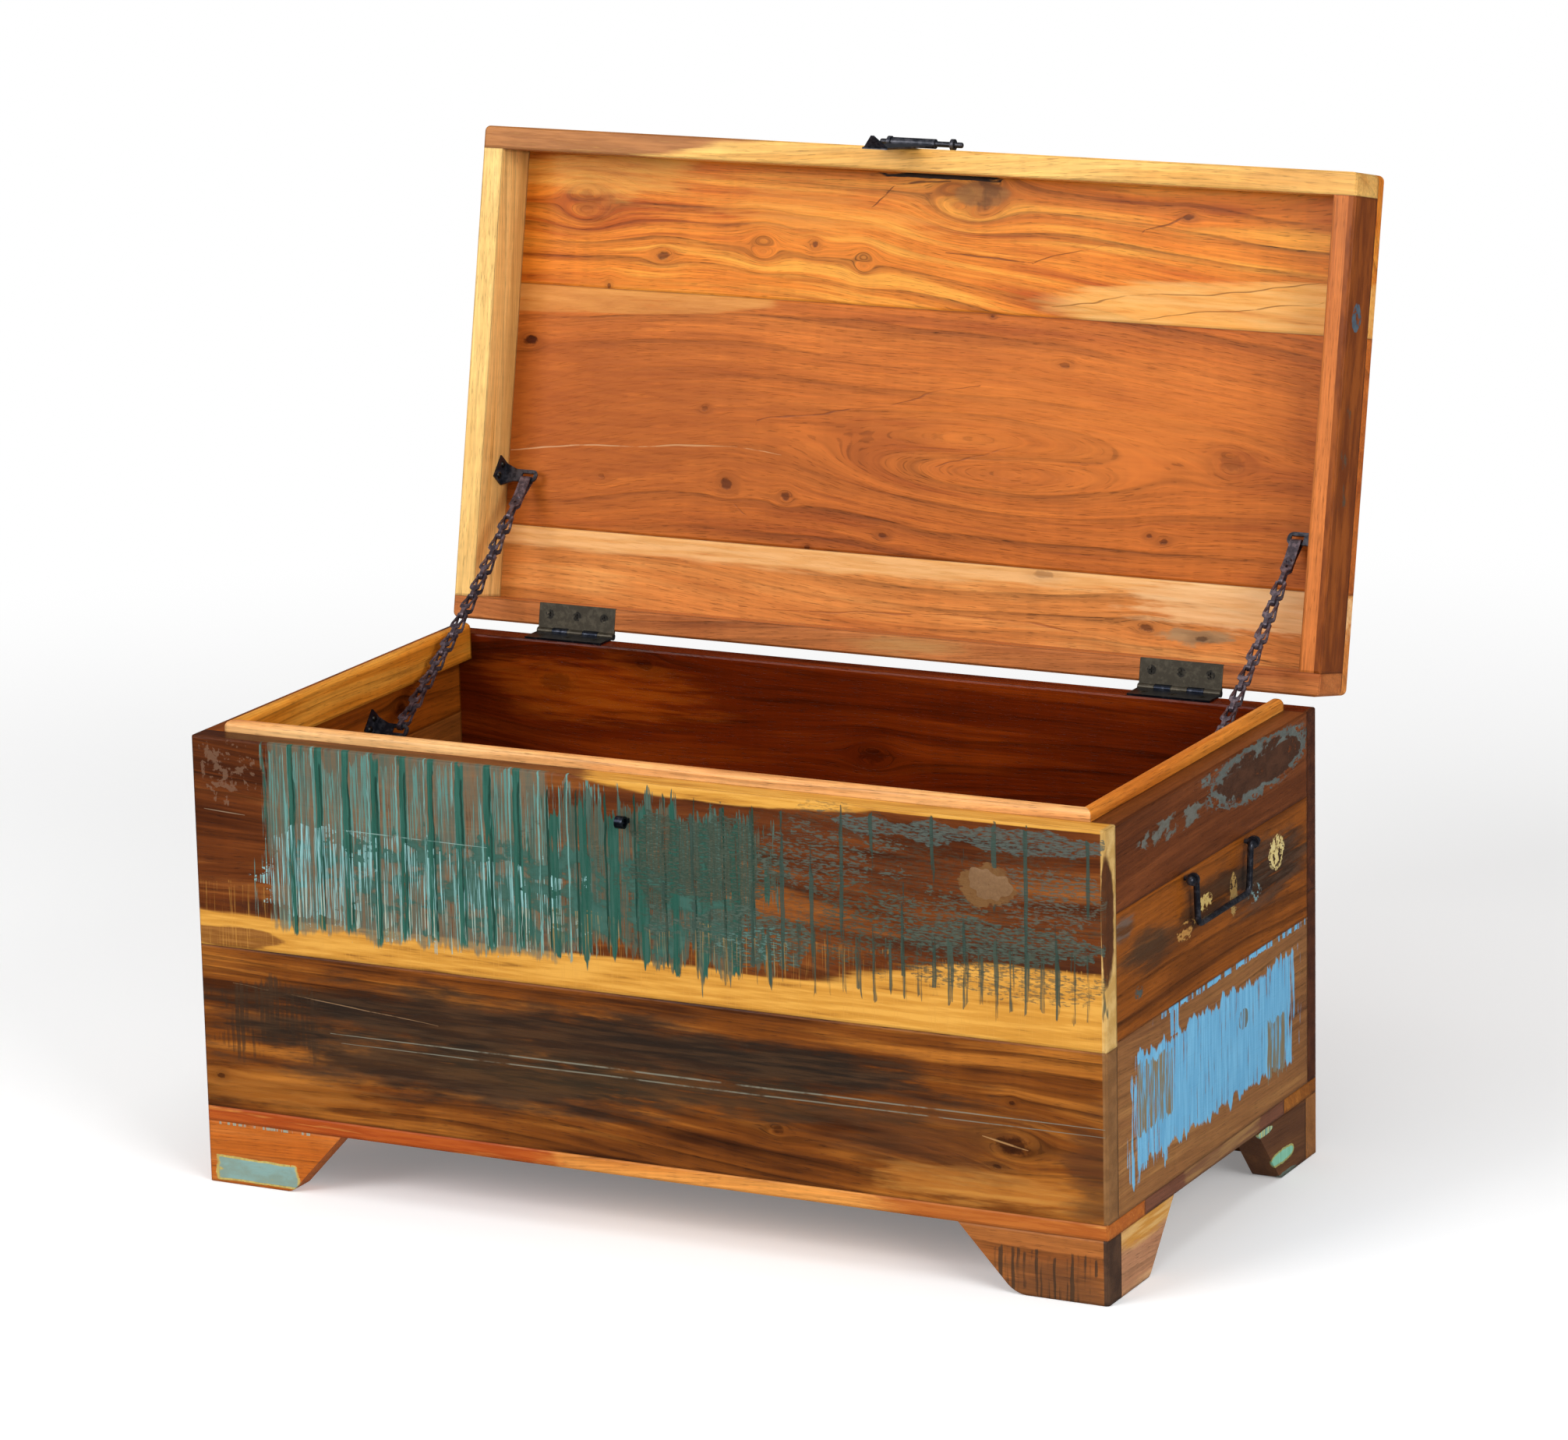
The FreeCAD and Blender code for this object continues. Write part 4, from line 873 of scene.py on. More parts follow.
class WoodFinisher:
    """Dresses the boards."""

    def __init__(self, nodes: Dict[str, bpy.types.Object], look: WoodFinish = WoodFinish()) -> None:
        """Args: nodes: the frame's CAD nodes by name; look: what all boards share."""
        self.nodes = nodes
        self.look = look
        self.groups = WoodGroups()

    @staticmethod
    def closed(points: np.ndarray) -> np.ndarray:
        """Points of the open lid turned shut about the hinge line.

        Args:
            points: rows of x, y and z.

        Returns:
            The turned rows.
        """
        sin, cos = math.sin(math.radians(LID_OPEN)), math.cos(math.radians(LID_OPEN))
        turn = np.array(((1.0, 0.0, 0.0), (0.0, cos, -sin), (0.0, sin, cos)))
        return (points - np.array(HINGE)) @ turn.T + np.array(HINGE)

    def place(self, surface: Surface, plane: Plane) -> Socket:
        """Position on the board: along it, across its face and through it, in metres.

        Args:
            surface: the board's material.
            plane: the board's plane.

        Returns:
            The vector.
        """
        g = surface.graph
        place = surface.place()
        if plane.on_lid:
            mapping = g.add("ShaderNodeMapping", vector_type="POINT")
            g.feed(mapping.inputs["Vector"], place)
            mapping.inputs["Rotation"].default_value = (math.radians(LID_OPEN), 0.0, 0.0)
            mapping.inputs["Location"].default_value = self.closed(np.zeros((1, 3)))[0].tolist()
            place = mapping.outputs[0]
        parts = dict(zip("XYZ", g.split(place)))
        return g.join(*(g.times(parts[axis[-1]], -1.0) if axis[0] == "-" else parts[axis]
                        for axis in plane.value))

    def corners(self, node: str, plane: Plane) -> Tuple[Triple, Triple]:
        """Lowest and highest corner of a board in its own plane.

        Args:
            node: CAD node.
            plane: its plane.

        Returns:
            Two corners.
        """
        mesh = self.nodes[node].data
        points = np.zeros(len(mesh.vertices) * 3)
        mesh.vertices.foreach_get("co", points)
        points = points.reshape(-1, 3)
        if plane.on_lid:
            points = self.closed(points)
        turned = np.stack([points[:, "XYZ".index(axis[-1])] * (-1.0 if axis[0] == "-" else 1.0)
                           for axis in plane.value], -1)
        return tuple(turned.min(0)), tuple(turned.max(0))

    def dress(self, board: Board) -> None:
        """Gives a board its material: wood, sapwood and stains, knots, paint, scratches, rims, then gloss.

        Args:
            board: what it is made of.
        """
        look = self.look
        surface = Surface("wood_" + board.node)
        g = surface.graph
        place = self.place(surface, board.plane)
        skin = BoardSkin(board, look, self.groups, g, place)
        for mark in board.marks:
            if mark.soaked_in:
                skin.lay(mark)
        skin.darken_knots()
        for mark in board.marks:
            if not mark.soaked_in:
                skin.lay(mark)
        for scratch in board.scratches:
            skin.score(scratch)
        low, high = self.corners(board.node, board.plane)
        skin.round_rim(g.group(self.groups.rim, Place=place, Low=low, High=high).outputs["Distance"])
        surface.link("Base Color", skin.colour)
        smear = g.cells(place, look.smear, 3.0)
        rough = g.plus(board.roughness - look.smear_gloss / 2.0, g.times(smear, look.smear_gloss))
        surface.link("Roughness", g.plus(rough, g.times(skin.dull, look.paint_dullness)))
        surface.relief(skin.height)
        surface.settle(Coat_Weight=look.wax, Coat_Roughness=look.wax_roughness, Specular_IOR_Level=look.shine)
        surface.cover(self.nodes[board.node])


class Palette:
    """Colours that several boards share."""

    CHARCOAL: Colour = (0.022, 0.014, 0.009)
    SOOT: Colour = (0.055, 0.028, 0.013)
    SAP: Colour = (0.58, 0.26, 0.034)
    SAP_LIGHT: Colour = (0.72, 0.36, 0.062)
    TEAL: Colour = (0.016, 0.086, 0.06)
    TURQUOISE: Colour = (0.15, 0.36, 0.36)
    TURQUOISE_DULL: Colour = (0.1, 0.2, 0.165)
    SKY: Colour = (0.125, 0.37, 0.6)
    SKY_LIGHT: Colour = (0.18, 0.47, 0.7)
    SLATE: Colour = (0.095, 0.105, 0.095)
    OCHRE: Colour = (0.6, 0.45, 0.16)
    MINT: Colour = (0.2, 0.5, 0.34)


class Habit:
    """Fields that marks of one kind share: on the wood, on a board's end, or in old paint."""

    DEEP: Dict[str, object] = {"opacity": 0.9, "edge": 0.35, "ragged": 0.35, "tear": Field.STREAK,
                               "brush": Field.HAIR, "wear": 0.3, "wear_edge": 0.14}
    COAT: Dict[str, object] = {"depth": 0.004, "form": Form.SQUARE, "edge": 0.05, "ragged": 0.18,
                               "tear": Field.STROKE, "brush": Field.BRISTLE, "wear": 0.42,
                               "wear_edge": 0.03, "lift": 0.00012}
    END: Dict[str, object] = {"depth": 0.03, "form": Form.SQUARE, "edge": 0.1, "ragged": 0.06}
    DENSE: Dict[str, object] = {"form": Form.ROUND, "brush": Field.WRINKLE, "wear": 0.44, "wear_edge": 0.08,
                                "lift": 0.00006}
    WRINKLED: Dict[str, object] = {**DENSE, "wear": 0.53}
    DRY: Dict[str, object] = {"form": Form.ROUND, "ragged": 0.45, "tear": Field.FLAKE, "brush": Field.FLAKE}
    FLECK: Dict[str, object] = {"form": Form.ROUND, "ragged": 0.5, "tear": Field.CRUMB, "wear": 0.48,
                                "brush": Field.CRUMB, "wear_edge": 0.02}


def deep(centre: Pair, size: Pair, first: Colour, second: Colour, **more: object) -> Mark:
    """Stain or band that goes right through a board, with a soft edge drawn out along the grain.

    Args:
        centre: where it lies.
        size: half sizes.
        first: one of its colours.
        second: the other.
        more: any other field of a mark.

    Returns:
        The mark.
    """
    return Mark(centre, size, first, second, **{**Habit.DEEP, **more})


def coat(centre: Pair, size: Pair, first: Colour, second: Colour, face: float, **more: object) -> Mark:
    """Old paint on one face of a board, brushed across the grain; a few coats are lines of painted highlight
    and painted shade along grooves.

    Args:
        centre: where it lies.
        size: half sizes.
        first: one of its colours.
        second: the other.
        face: place of the painted face through the board.
        more: any other field of a mark.

    Returns:
        The mark.
    """
    return Mark(centre, size, first, second, **{"face": face, **Habit.COAT, **more})


class Woods:
    """Woods that several boards share."""

    BROWN = Grain((0.13, 0.038, 0.006), (0.27, 0.085, 0.012), (0.44, 0.155, 0.022), 85.0, 0.02, 0.5, 2.0)
    RED = Grain((0.085, 0.022, 0.006), (0.125, 0.032, 0.008), (0.22, 0.06, 0.014), 60.0, 0.03, 0.4, 3.0)
    ORANGE = Grain((0.34, 0.085, 0.012), (0.5, 0.14, 0.022), (0.66, 0.22, 0.045), 60.0, 0.03, 0.4, 4.0)
    WINE = Grain((0.045, 0.005, 0.0004), (0.115, 0.012, 0.0008), (0.2, 0.028, 0.002), 45.0, 0.03, 0.5, 31.0)


class BoardSet:
    """Boards of one part of the chest."""

    def boards(self) -> List[Board]:
        """Its boards, in the order in which they are dressed."""
        raise NotImplementedError

    def dress(self, finisher: WoodFinisher) -> List[str]:
        """Dresses every board.

        Args:
            finisher: what dresses them.

        Returns:
            The nodes that are dressed.
        """
        dressed = []
        for board in self.boards():
            finisher.dress(board)
            LOG.info("dressed %s", board.node)
            dressed.append(board.node)
        return dressed


@dataclass(frozen=True)
class FrontWall(BoardSet):
    """Boards, strip and feet of the front.

    Its sizes are the place of its face and of the boards' right end, and how far behind the face the middle
    of that end lies.
    """

    face: float = FRONT_FACE
    end: float = SIDE_FACE
    end_middle: float = 0.01
    foot_end_middle: float = 0.012

    def boards(self) -> List[Board]:
        """Its boards, in the order in which they are dressed."""
        return [self.upper(), self.lower(), self.strip(), self.left_foot(), self.right_foot(),
                self.side_foot(), Board("foot_front_left_side", Plane.SIDE, Woods.ORANGE)]

    def upper(self) -> Board:
        """Upper board: brown with pale sapwood, a painted shadow band, combed old paint on the left with
        painted highlight and shade along its grooves, and crumbs on the right.

        Returns:
            The board.
        """
        p, face = Palette, self.face
        wood = Grain((0.06, 0.013, 0.002), (0.125, 0.029, 0.004), (0.25, 0.075, 0.013), 55.0, 0.04, 0.45,
                     7.0, 1.3)
        return Board("front_board_upper", Plane.FRONT, wood, marks=(
            deep((0.0, 0.2), (0.62, 0.03), p.SAP, p.SAP_LIGHT, form=Form.SQUARE, edge=0.06, ragged=0.1,
                 tear=Field.DRIFT, opacity=0.97),
            deep((0.4, 0.215), (0.27, 0.048), p.SAP, p.SAP_LIGHT, edge=0.07, ragged=0.12, tear=Field.DRIFT,
                 opacity=0.97),
            deep((0.085, 0.377), (0.14, 0.0145), p.SAP, p.SAP_LIGHT, edge=0.08, ragged=0.08, opacity=0.97),
            deep((0.285, 0.3765), (0.165, 0.0058), p.SAP, p.SAP_LIGHT, edge=0.1, ragged=0.06, opacity=0.95,
                 form=Form.SQUARE),
            # Dark line across the right half: a painted shadow band
            deep((0.33, 0.269), (0.15, 0.008), (0.06, 0.016, 0.005), (0.09, 0.025, 0.006)),
            deep((0.125, 0.288), (0.055, 0.012), (0.24, 0.066, 0.008), (0.33, 0.105, 0.014), ragged=0.5,
                 edge=0.6, opacity=0.75),
            deep((0.03, 0.352), (0.19, 0.012), (0.09, 0.02, 0.004), (0.12, 0.03, 0.006), opacity=0.7),
            deep((-0.325, 0.237), (0.055, 0.007), (0.05, 0.014, 0.005), (0.08, 0.02, 0.006)),
            deep((-0.37, 0.209), (0.048, 0.009), (0.19, 0.063, 0.011), (0.3, 0.115, 0.024), edge=0.15),
            coat((-0.2, 0.3005), (0.128, 0.079), (0.17, 0.13, 0.078), (0.085, 0.13, 0.1), face, wear=0.32,
                 wear_edge=0.1, ragged=0.08, opacity=0.78, lift=0.00003),
            coat((0.005, 0.29), (0.115, 0.058), (0.12, 0.105, 0.062), (0.055, 0.095, 0.07), face, wear=0.4,
                 wear_edge=0.1, ragged=0.35, opacity=0.78, lift=0.00003),
            coat((-0.175, 0.297), (0.158, 0.071), (0.165, 0.33, 0.3), (0.09, 0.21, 0.18), face, wear=0.55,
                 brush=Field.FINE, ragged=0.2, lift=0.00008),
            coat((0.03, 0.294), (0.095, 0.062), (0.028, 0.058, 0.04), (0.07, 0.12, 0.095), face, wear=0.5,
                 brush=Field.FINE, ragged=0.4, lift=0.00004),
            coat((-0.085, 0.275), (0.215, 0.039), (0.014, 0.07, 0.05), (0.04, 0.12, 0.095), face, wear=0.49,
                 brush=Field.FLAKE, form=Form.ROUND, ragged=0.4, wear_edge=0.05, opacity=0.9),
            coat((-0.205, 0.3005), (0.122, 0.0785), p.TEAL, (0.03, 0.12, 0.09), face, wear=0.36, ragged=0.14,
                 comb=(-0.308, 0.0257, 0.0038), held_back=0.35, lift=-0.0003),
            coat((0.01, 0.289), (0.11, 0.06), p.TEAL, (0.035, 0.105, 0.08), face, wear=0.37, ragged=0.35,
                 comb=(-0.306, 0.0263, 0.005), held_back=0.35, lift=-0.0003),
            # Pale turquoise lines just left of each groove: painted highlight on the lit left lip of the
            # combed grooves
            coat((-0.18, 0.297), (0.145, 0.078), (0.2, 0.4, 0.37), (0.12, 0.28, 0.25), face, wear=0.48,
                 comb=(-0.3138, 0.0257, 0.0014), held_back=0.4, ragged=0.15, brush=Field.FINE),
            # Dark lines in the right half of each groove: painted shade on the shaded side of the combed
            # grooves
            coat((-0.102, 0.296), (0.218, 0.068), (0.008, 0.038, 0.026), (0.015, 0.06, 0.042), face,
                 comb=(-0.306, 0.0257, 0.001), held_back=0.4, ragged=0.15, lift=-0.0002),
            coat((-0.29, 0.27), (0.046, 0.038), p.TURQUOISE, (0.25, 0.47, 0.47), face, wear=0.53,
                 brush=Field.FINE, form=Form.ROUND, ragged=0.5, tear=Field.FLAKE),
            coat((-0.185, 0.262), (0.13, 0.042), p.TURQUOISE, (0.24, 0.45, 0.44), face, wear=0.58,
                 brush=Field.FINE, form=Form.ROUND, ragged=0.5, tear=Field.FLAKE, wear_edge=0.02),
            coat((0.19, 0.305), (0.215, 0.06), (0.07, 0.055, 0.03), (0.042, 0.05, 0.032), face,
                 tear=Field.BLOT, ragged=0.5, opacity=0.4, **Habit.WRINKLED),
            coat((0.062, 0.316), (0.072, 0.04), (0.022, 0.04, 0.026), (0.06, 0.08, 0.056), face,
                 tear=Field.BLOT, ragged=0.6, opacity=0.85, **Habit.DENSE),
            coat((0.096, 0.261), (0.066, 0.024), (0.03, 0.052, 0.036), (0.075, 0.11, 0.085), face,
                 tear=Field.BLOT, ragged=0.6, opacity=0.85, **Habit.DENSE),
            coat((0.105, 0.255), (0.036, 0.014), (0.13, 0.28, 0.25), (0.08, 0.16, 0.135), face, wear=0.56,
                 brush=Field.WRINKLE, form=Form.ROUND, ragged=0.5, tear=Field.FLAKE),
            coat((0.165, 0.328), (0.058, 0.026), (0.042, 0.06, 0.044), (0.085, 0.1, 0.078), face,
                 tear=Field.FLAKE, ragged=0.8, opacity=0.8, **Habit.WRINKLED),
            coat((0.205, 0.284), (0.046, 0.032), (0.028, 0.042, 0.026), (0.06, 0.076, 0.052), face,
                 tear=Field.FLAKE, ragged=0.8, opacity=0.8, **Habit.WRINKLED),
            coat((0.3, 0.358), (0.11, 0.009), (0.045, 0.072, 0.064), (0.09, 0.11, 0.092), face,
                 tear=Field.BLOT, ragged=0.6, opacity=0.85, **Habit.DENSE),
            coat((0.322, 0.279), (0.088, 0.015), (0.03, 0.055, 0.042), (0.075, 0.098, 0.075), face,
                 tear=Field.BLOT, ragged=0.6, opacity=0.85, **Habit.DENSE),
            coat((0.265, 0.292), (0.05, 0.024), (0.04, 0.06, 0.042), (0.08, 0.092, 0.066), face,
                 tear=Field.FLAKE, ragged=0.8, opacity=0.8, **Habit.WRINKLED),
            coat((0.35, 0.312), (0.046, 0.026), (0.055, 0.07, 0.052), (0.1, 0.105, 0.078), face,
                 tear=Field.FLAKE, ragged=0.8, opacity=0.75, **Habit.WRINKLED),
            coat((0.215, 0.302), (0.19, 0.062), (0.012, 0.032, 0.024), (0.038, 0.07, 0.055), face, wear=0.5,
                 brush=Field.STROKE, comb=(-0.308, 0.0257, 0.0018), held_back=0.35, ragged=0.35,
                 tear=Field.BLOT, lift=-0.0002, opacity=0.85),
            coat((0.225, 0.249), (0.18, 0.025), (0.022, 0.036, 0.024), (0.05, 0.076, 0.056), face, wear=0.49,
                 comb=(0.13, 0.0128, 0.0026), held_back=0.35, ragged=0.5, lift=-0.0002, wear_edge=0.08,
                 opacity=0.88),
            coat((0.315, 0.25), (0.08, 0.014), (0.032, 0.04, 0.024), (0.062, 0.07, 0.046), face,
                 tear=Field.BLOT, ragged=0.9, opacity=0.7, **Habit.WRINKLED),
            coat((-0.368, 0.35), (0.03, 0.022), (0.24, 0.12, 0.07), (0.18, 0.1, 0.06), face, wear=0.55,
                 brush=Field.CRUMB, form=Form.ROUND, ragged=0.8, opacity=0.6, lift=0.00002),
            coat((0.0, 0.215), (0.6, 0.045), (0.84, 0.5, 0.14), (0.62, 0.3, 0.05), face, wear=0.6,
                 brush=Field.FINE, ragged=0.3, tear=Field.STREAK, wear_edge=0.05, opacity=0.35, lift=0.00004),
            coat((0.302, 0.3205), (0.021, 0.016), (0.175, 0.082, 0.026), (0.145, 0.06, 0.018), face, wear=0.2,
                 form=Form.ROUND, ragged=0.42, tear=Field.FLAKE, brush=Field.CRUMB),
            Mark((self.end, 0.3), (0.0035, 0.2), (0.51, 0.3, 0.085), (0.65, 0.42, 0.15), opacity=0.97,
                 face=face + self.end_middle, **Habit.END),
            Mark((self.end, 0.305), (0.0035, 0.052), (0.075, 0.024, 0.008), (0.1, 0.03, 0.009), face=face,
                 depth=0.016, edge=0.12, ragged=0.2, tear=Field.BLOT, opacity=0.99),
        ), scratches=(
            Scratch((-0.39, 0.314), (-0.352, 0.312), 0.0006, (0.3, 0.2, 0.12), face=face),
            Scratch((-0.28, 0.309), (-0.13, 0.3075), 0.0006, (0.25, 0.4, 0.36), face=face),
        ))

    def lower(self) -> Board:
        """Lower board: brown with dark stains, a knot on the right and long scratches.

        Returns:
            The board.
        """
        p, face = Palette, self.face
        wood = Grain((0.06, 0.015, 0.002), (0.18, 0.048, 0.004), (0.38, 0.125, 0.014), 85.0, 0.025, 0.65,
                     11.0, 1.7)
        return Board("front_board_lower", Plane.FRONT, wood, marks=(
            deep((0.3, 0.083), (0.11, 0.015), (0.42, 0.15, 0.022), (0.56, 0.24, 0.042), opacity=0.75),
            deep((-0.33, 0.086), (0.1, 0.017), (0.38, 0.125, 0.013), (0.48, 0.175, 0.025), opacity=0.5),
            deep((-0.06, 0.157), (0.29, 0.027), p.CHARCOAL, p.SOOT, ragged=0.5, edge=0.4, wear=0.14),
            deep((-0.17, 0.12), (0.2, 0.028), p.CHARCOAL, (0.055, 0.03, 0.015), ragged=0.5, edge=0.4,
                 wear=0.2),
            deep((0.02, 0.128), (0.2, 0.018), (0.035, 0.023, 0.012), (0.07, 0.033, 0.012), ragged=0.6,
                 edge=0.6, opacity=0.8),
            deep((0.15, 0.16), (0.1, 0.014), p.CHARCOAL, p.SOOT, ragged=0.6, edge=0.5, opacity=0.8),
            deep((0.26, 0.118), (0.1, 0.03), (0.06, 0.026, 0.01), (0.12, 0.04, 0.012), ragged=0.6, edge=0.6,
                 opacity=0.55),
            deep((0.392, 0.105), (0.03, 0.045), (0.045, 0.022, 0.01), (0.09, 0.03, 0.01), ragged=0.5,
                 edge=0.5, opacity=0.7),
            coat((-0.345, 0.142), (0.062, 0.03), p.CHARCOAL, p.SOOT, face, wear=0.5, opacity=0.8,
                 brush=Field.STROKE, ragged=0.7, edge=0.4, wear_edge=0.1, tear=Field.BLOT,
                 comb=(-0.395, 0.0047, 0.0016), held_back=0.16, lift=0.0),
            deep((-0.33, 0.14), (0.085, 0.026), p.CHARCOAL, p.SOOT, ragged=0.7, edge=0.6, opacity=0.7),
            Mark((self.end, 0.13), (0.0035, 0.2), (0.2, 0.095, 0.034), (0.27, 0.13, 0.047), opacity=0.9,
                 face=face + self.end_middle, **Habit.END),
        ), knots=(Knot(0.322, 0.119, 0.0095, 2.1, 0.92), Knot(0.321, 0.147, 0.0028, 1.2),
                  Knot(0.308, 0.1085, 0.003, 1.8), Knot(0.12, 0.107, 0.004, 2.0, 0.6),
                  Knot(-0.385, 0.091, 0.003, 1.8)), scratches=(
            Scratch((-0.28, 0.1385), (0.398, 0.14), 0.001, (0.22, 0.21, 0.155), 0.0012, face),
            Scratch((-0.27, 0.1315), (0.398, 0.134), 0.0009, (0.2, 0.19, 0.14), 0.0012, face),
            Scratch((-0.37, 0.171), (-0.18, 0.155), 0.0006, (0.3, 0.17, 0.08), 0.004, face),
            Scratch((0.296, 0.1235), (0.334, 0.1165), 0.0011, (0.42, 0.22, 0.08), 0.002, face),
        ))

    def strip(self) -> Board:
        """Base strip: pale, with two darker lengths.

        Returns:
            The board.
        """
        wood = Grain((0.58, 0.19, 0.03), (0.7, 0.28, 0.055), (0.78, 0.35, 0.08), 60.0, 0.02, 0.3, 5.0)
        return Board("base_strip_front", Plane.FRONT, wood, marks=(
            deep((-0.27, 0.058), (0.18, 0.05), (0.34, 0.052, 0.005), (0.43, 0.085, 0.01), edge=0.12,
                 ragged=0.15, opacity=0.98, depth=0.4, form=Form.SQUARE),
            deep((0.34, 0.058), (0.14, 0.05), (0.36, 0.085, 0.012), (0.46, 0.13, 0.02), edge=0.3, ragged=0.3,
                 opacity=0.95, depth=0.4, form=Form.SQUARE),
        ))

    def left_foot(self) -> Board:
        """Front arm of the left foot, with a painted panel.

        Returns:
            The board.
        """
        face = self.face
        wood = Grain((0.4, 0.088, 0.008), (0.47, 0.115, 0.011), (0.53, 0.165, 0.03), 80.0, 0.02, 0.35, 6.0)
        return Board("foot_front_left_long", Plane.FRONT, wood, marks=(
            coat((-0.3535, 0.0125), (0.0385, 0.0105), (0.55, 0.42, 0.12), (0.42, 0.33, 0.1), face, wear=0.3,
                 ragged=0.1, tear=Field.FLAKE),
            coat((-0.3535, 0.0125), (0.0365, 0.0088), (0.22, 0.31, 0.26), (0.23, 0.37, 0.345), face,
                 wear=0.36, ragged=0.12, tear=Field.FLAKE, brush=Field.FLAKE),
            coat((-0.345, 0.0505), (0.045, 0.0012), (0.35, 0.4, 0.33), (0.3, 0.28, 0.2), face, wear=0.52),
        ))

    def right_foot(self) -> Board:
        """Front arm of the right foot, with dark strokes.

        Returns:
            The board.
        """
        face = self.face
        wood = Grain((0.24, 0.072, 0.016), (0.36, 0.118, 0.026), (0.46, 0.165, 0.04), 80.0, 0.02, 0.4, 8.0)
        return Board("foot_front_right_long", Plane.FRONT, wood, marks=(
            deep((0.35, 0.006), (0.06, 0.026), (0.05, 0.027, 0.017), (0.12, 0.05, 0.02), opacity=0.6,
                 ragged=0.4, edge=0.5),
            coat((0.35, 0.015), (0.048, 0.022), (0.035, 0.022, 0.014), (0.06, 0.034, 0.018), face, wear=0.48,
                 brush=Field.STROKE, wear_edge=0.06, comb=(0.3, 0.005, 0.0016), held_back=0.2, ragged=0.9,
                 edge=0.2, tear=Field.BLOT, lift=0.0, opacity=0.85),
            Mark((self.end, 0.03), (0.004, 0.2), (0.045, 0.026, 0.018), (0.085, 0.045, 0.026), opacity=0.95,
                 face=face + self.foot_end_middle, **Habit.END),
        ))

    def side_foot(self) -> Board:
        """Side arm of the right foot.

        Returns:
            The board.
        """
        p = Palette
        wood = Grain((0.3, 0.115, 0.055), (0.46, 0.22, 0.11), (0.66, 0.4, 0.19), 70.0, 0.05, 0.4, 9.0)
        return Board("foot_front_right_side", Plane.SIDE, wood, marks=(
            deep((-0.205, 0.045), (0.07, 0.012), p.SAP, (0.7, 0.42, 0.14)),
        ))


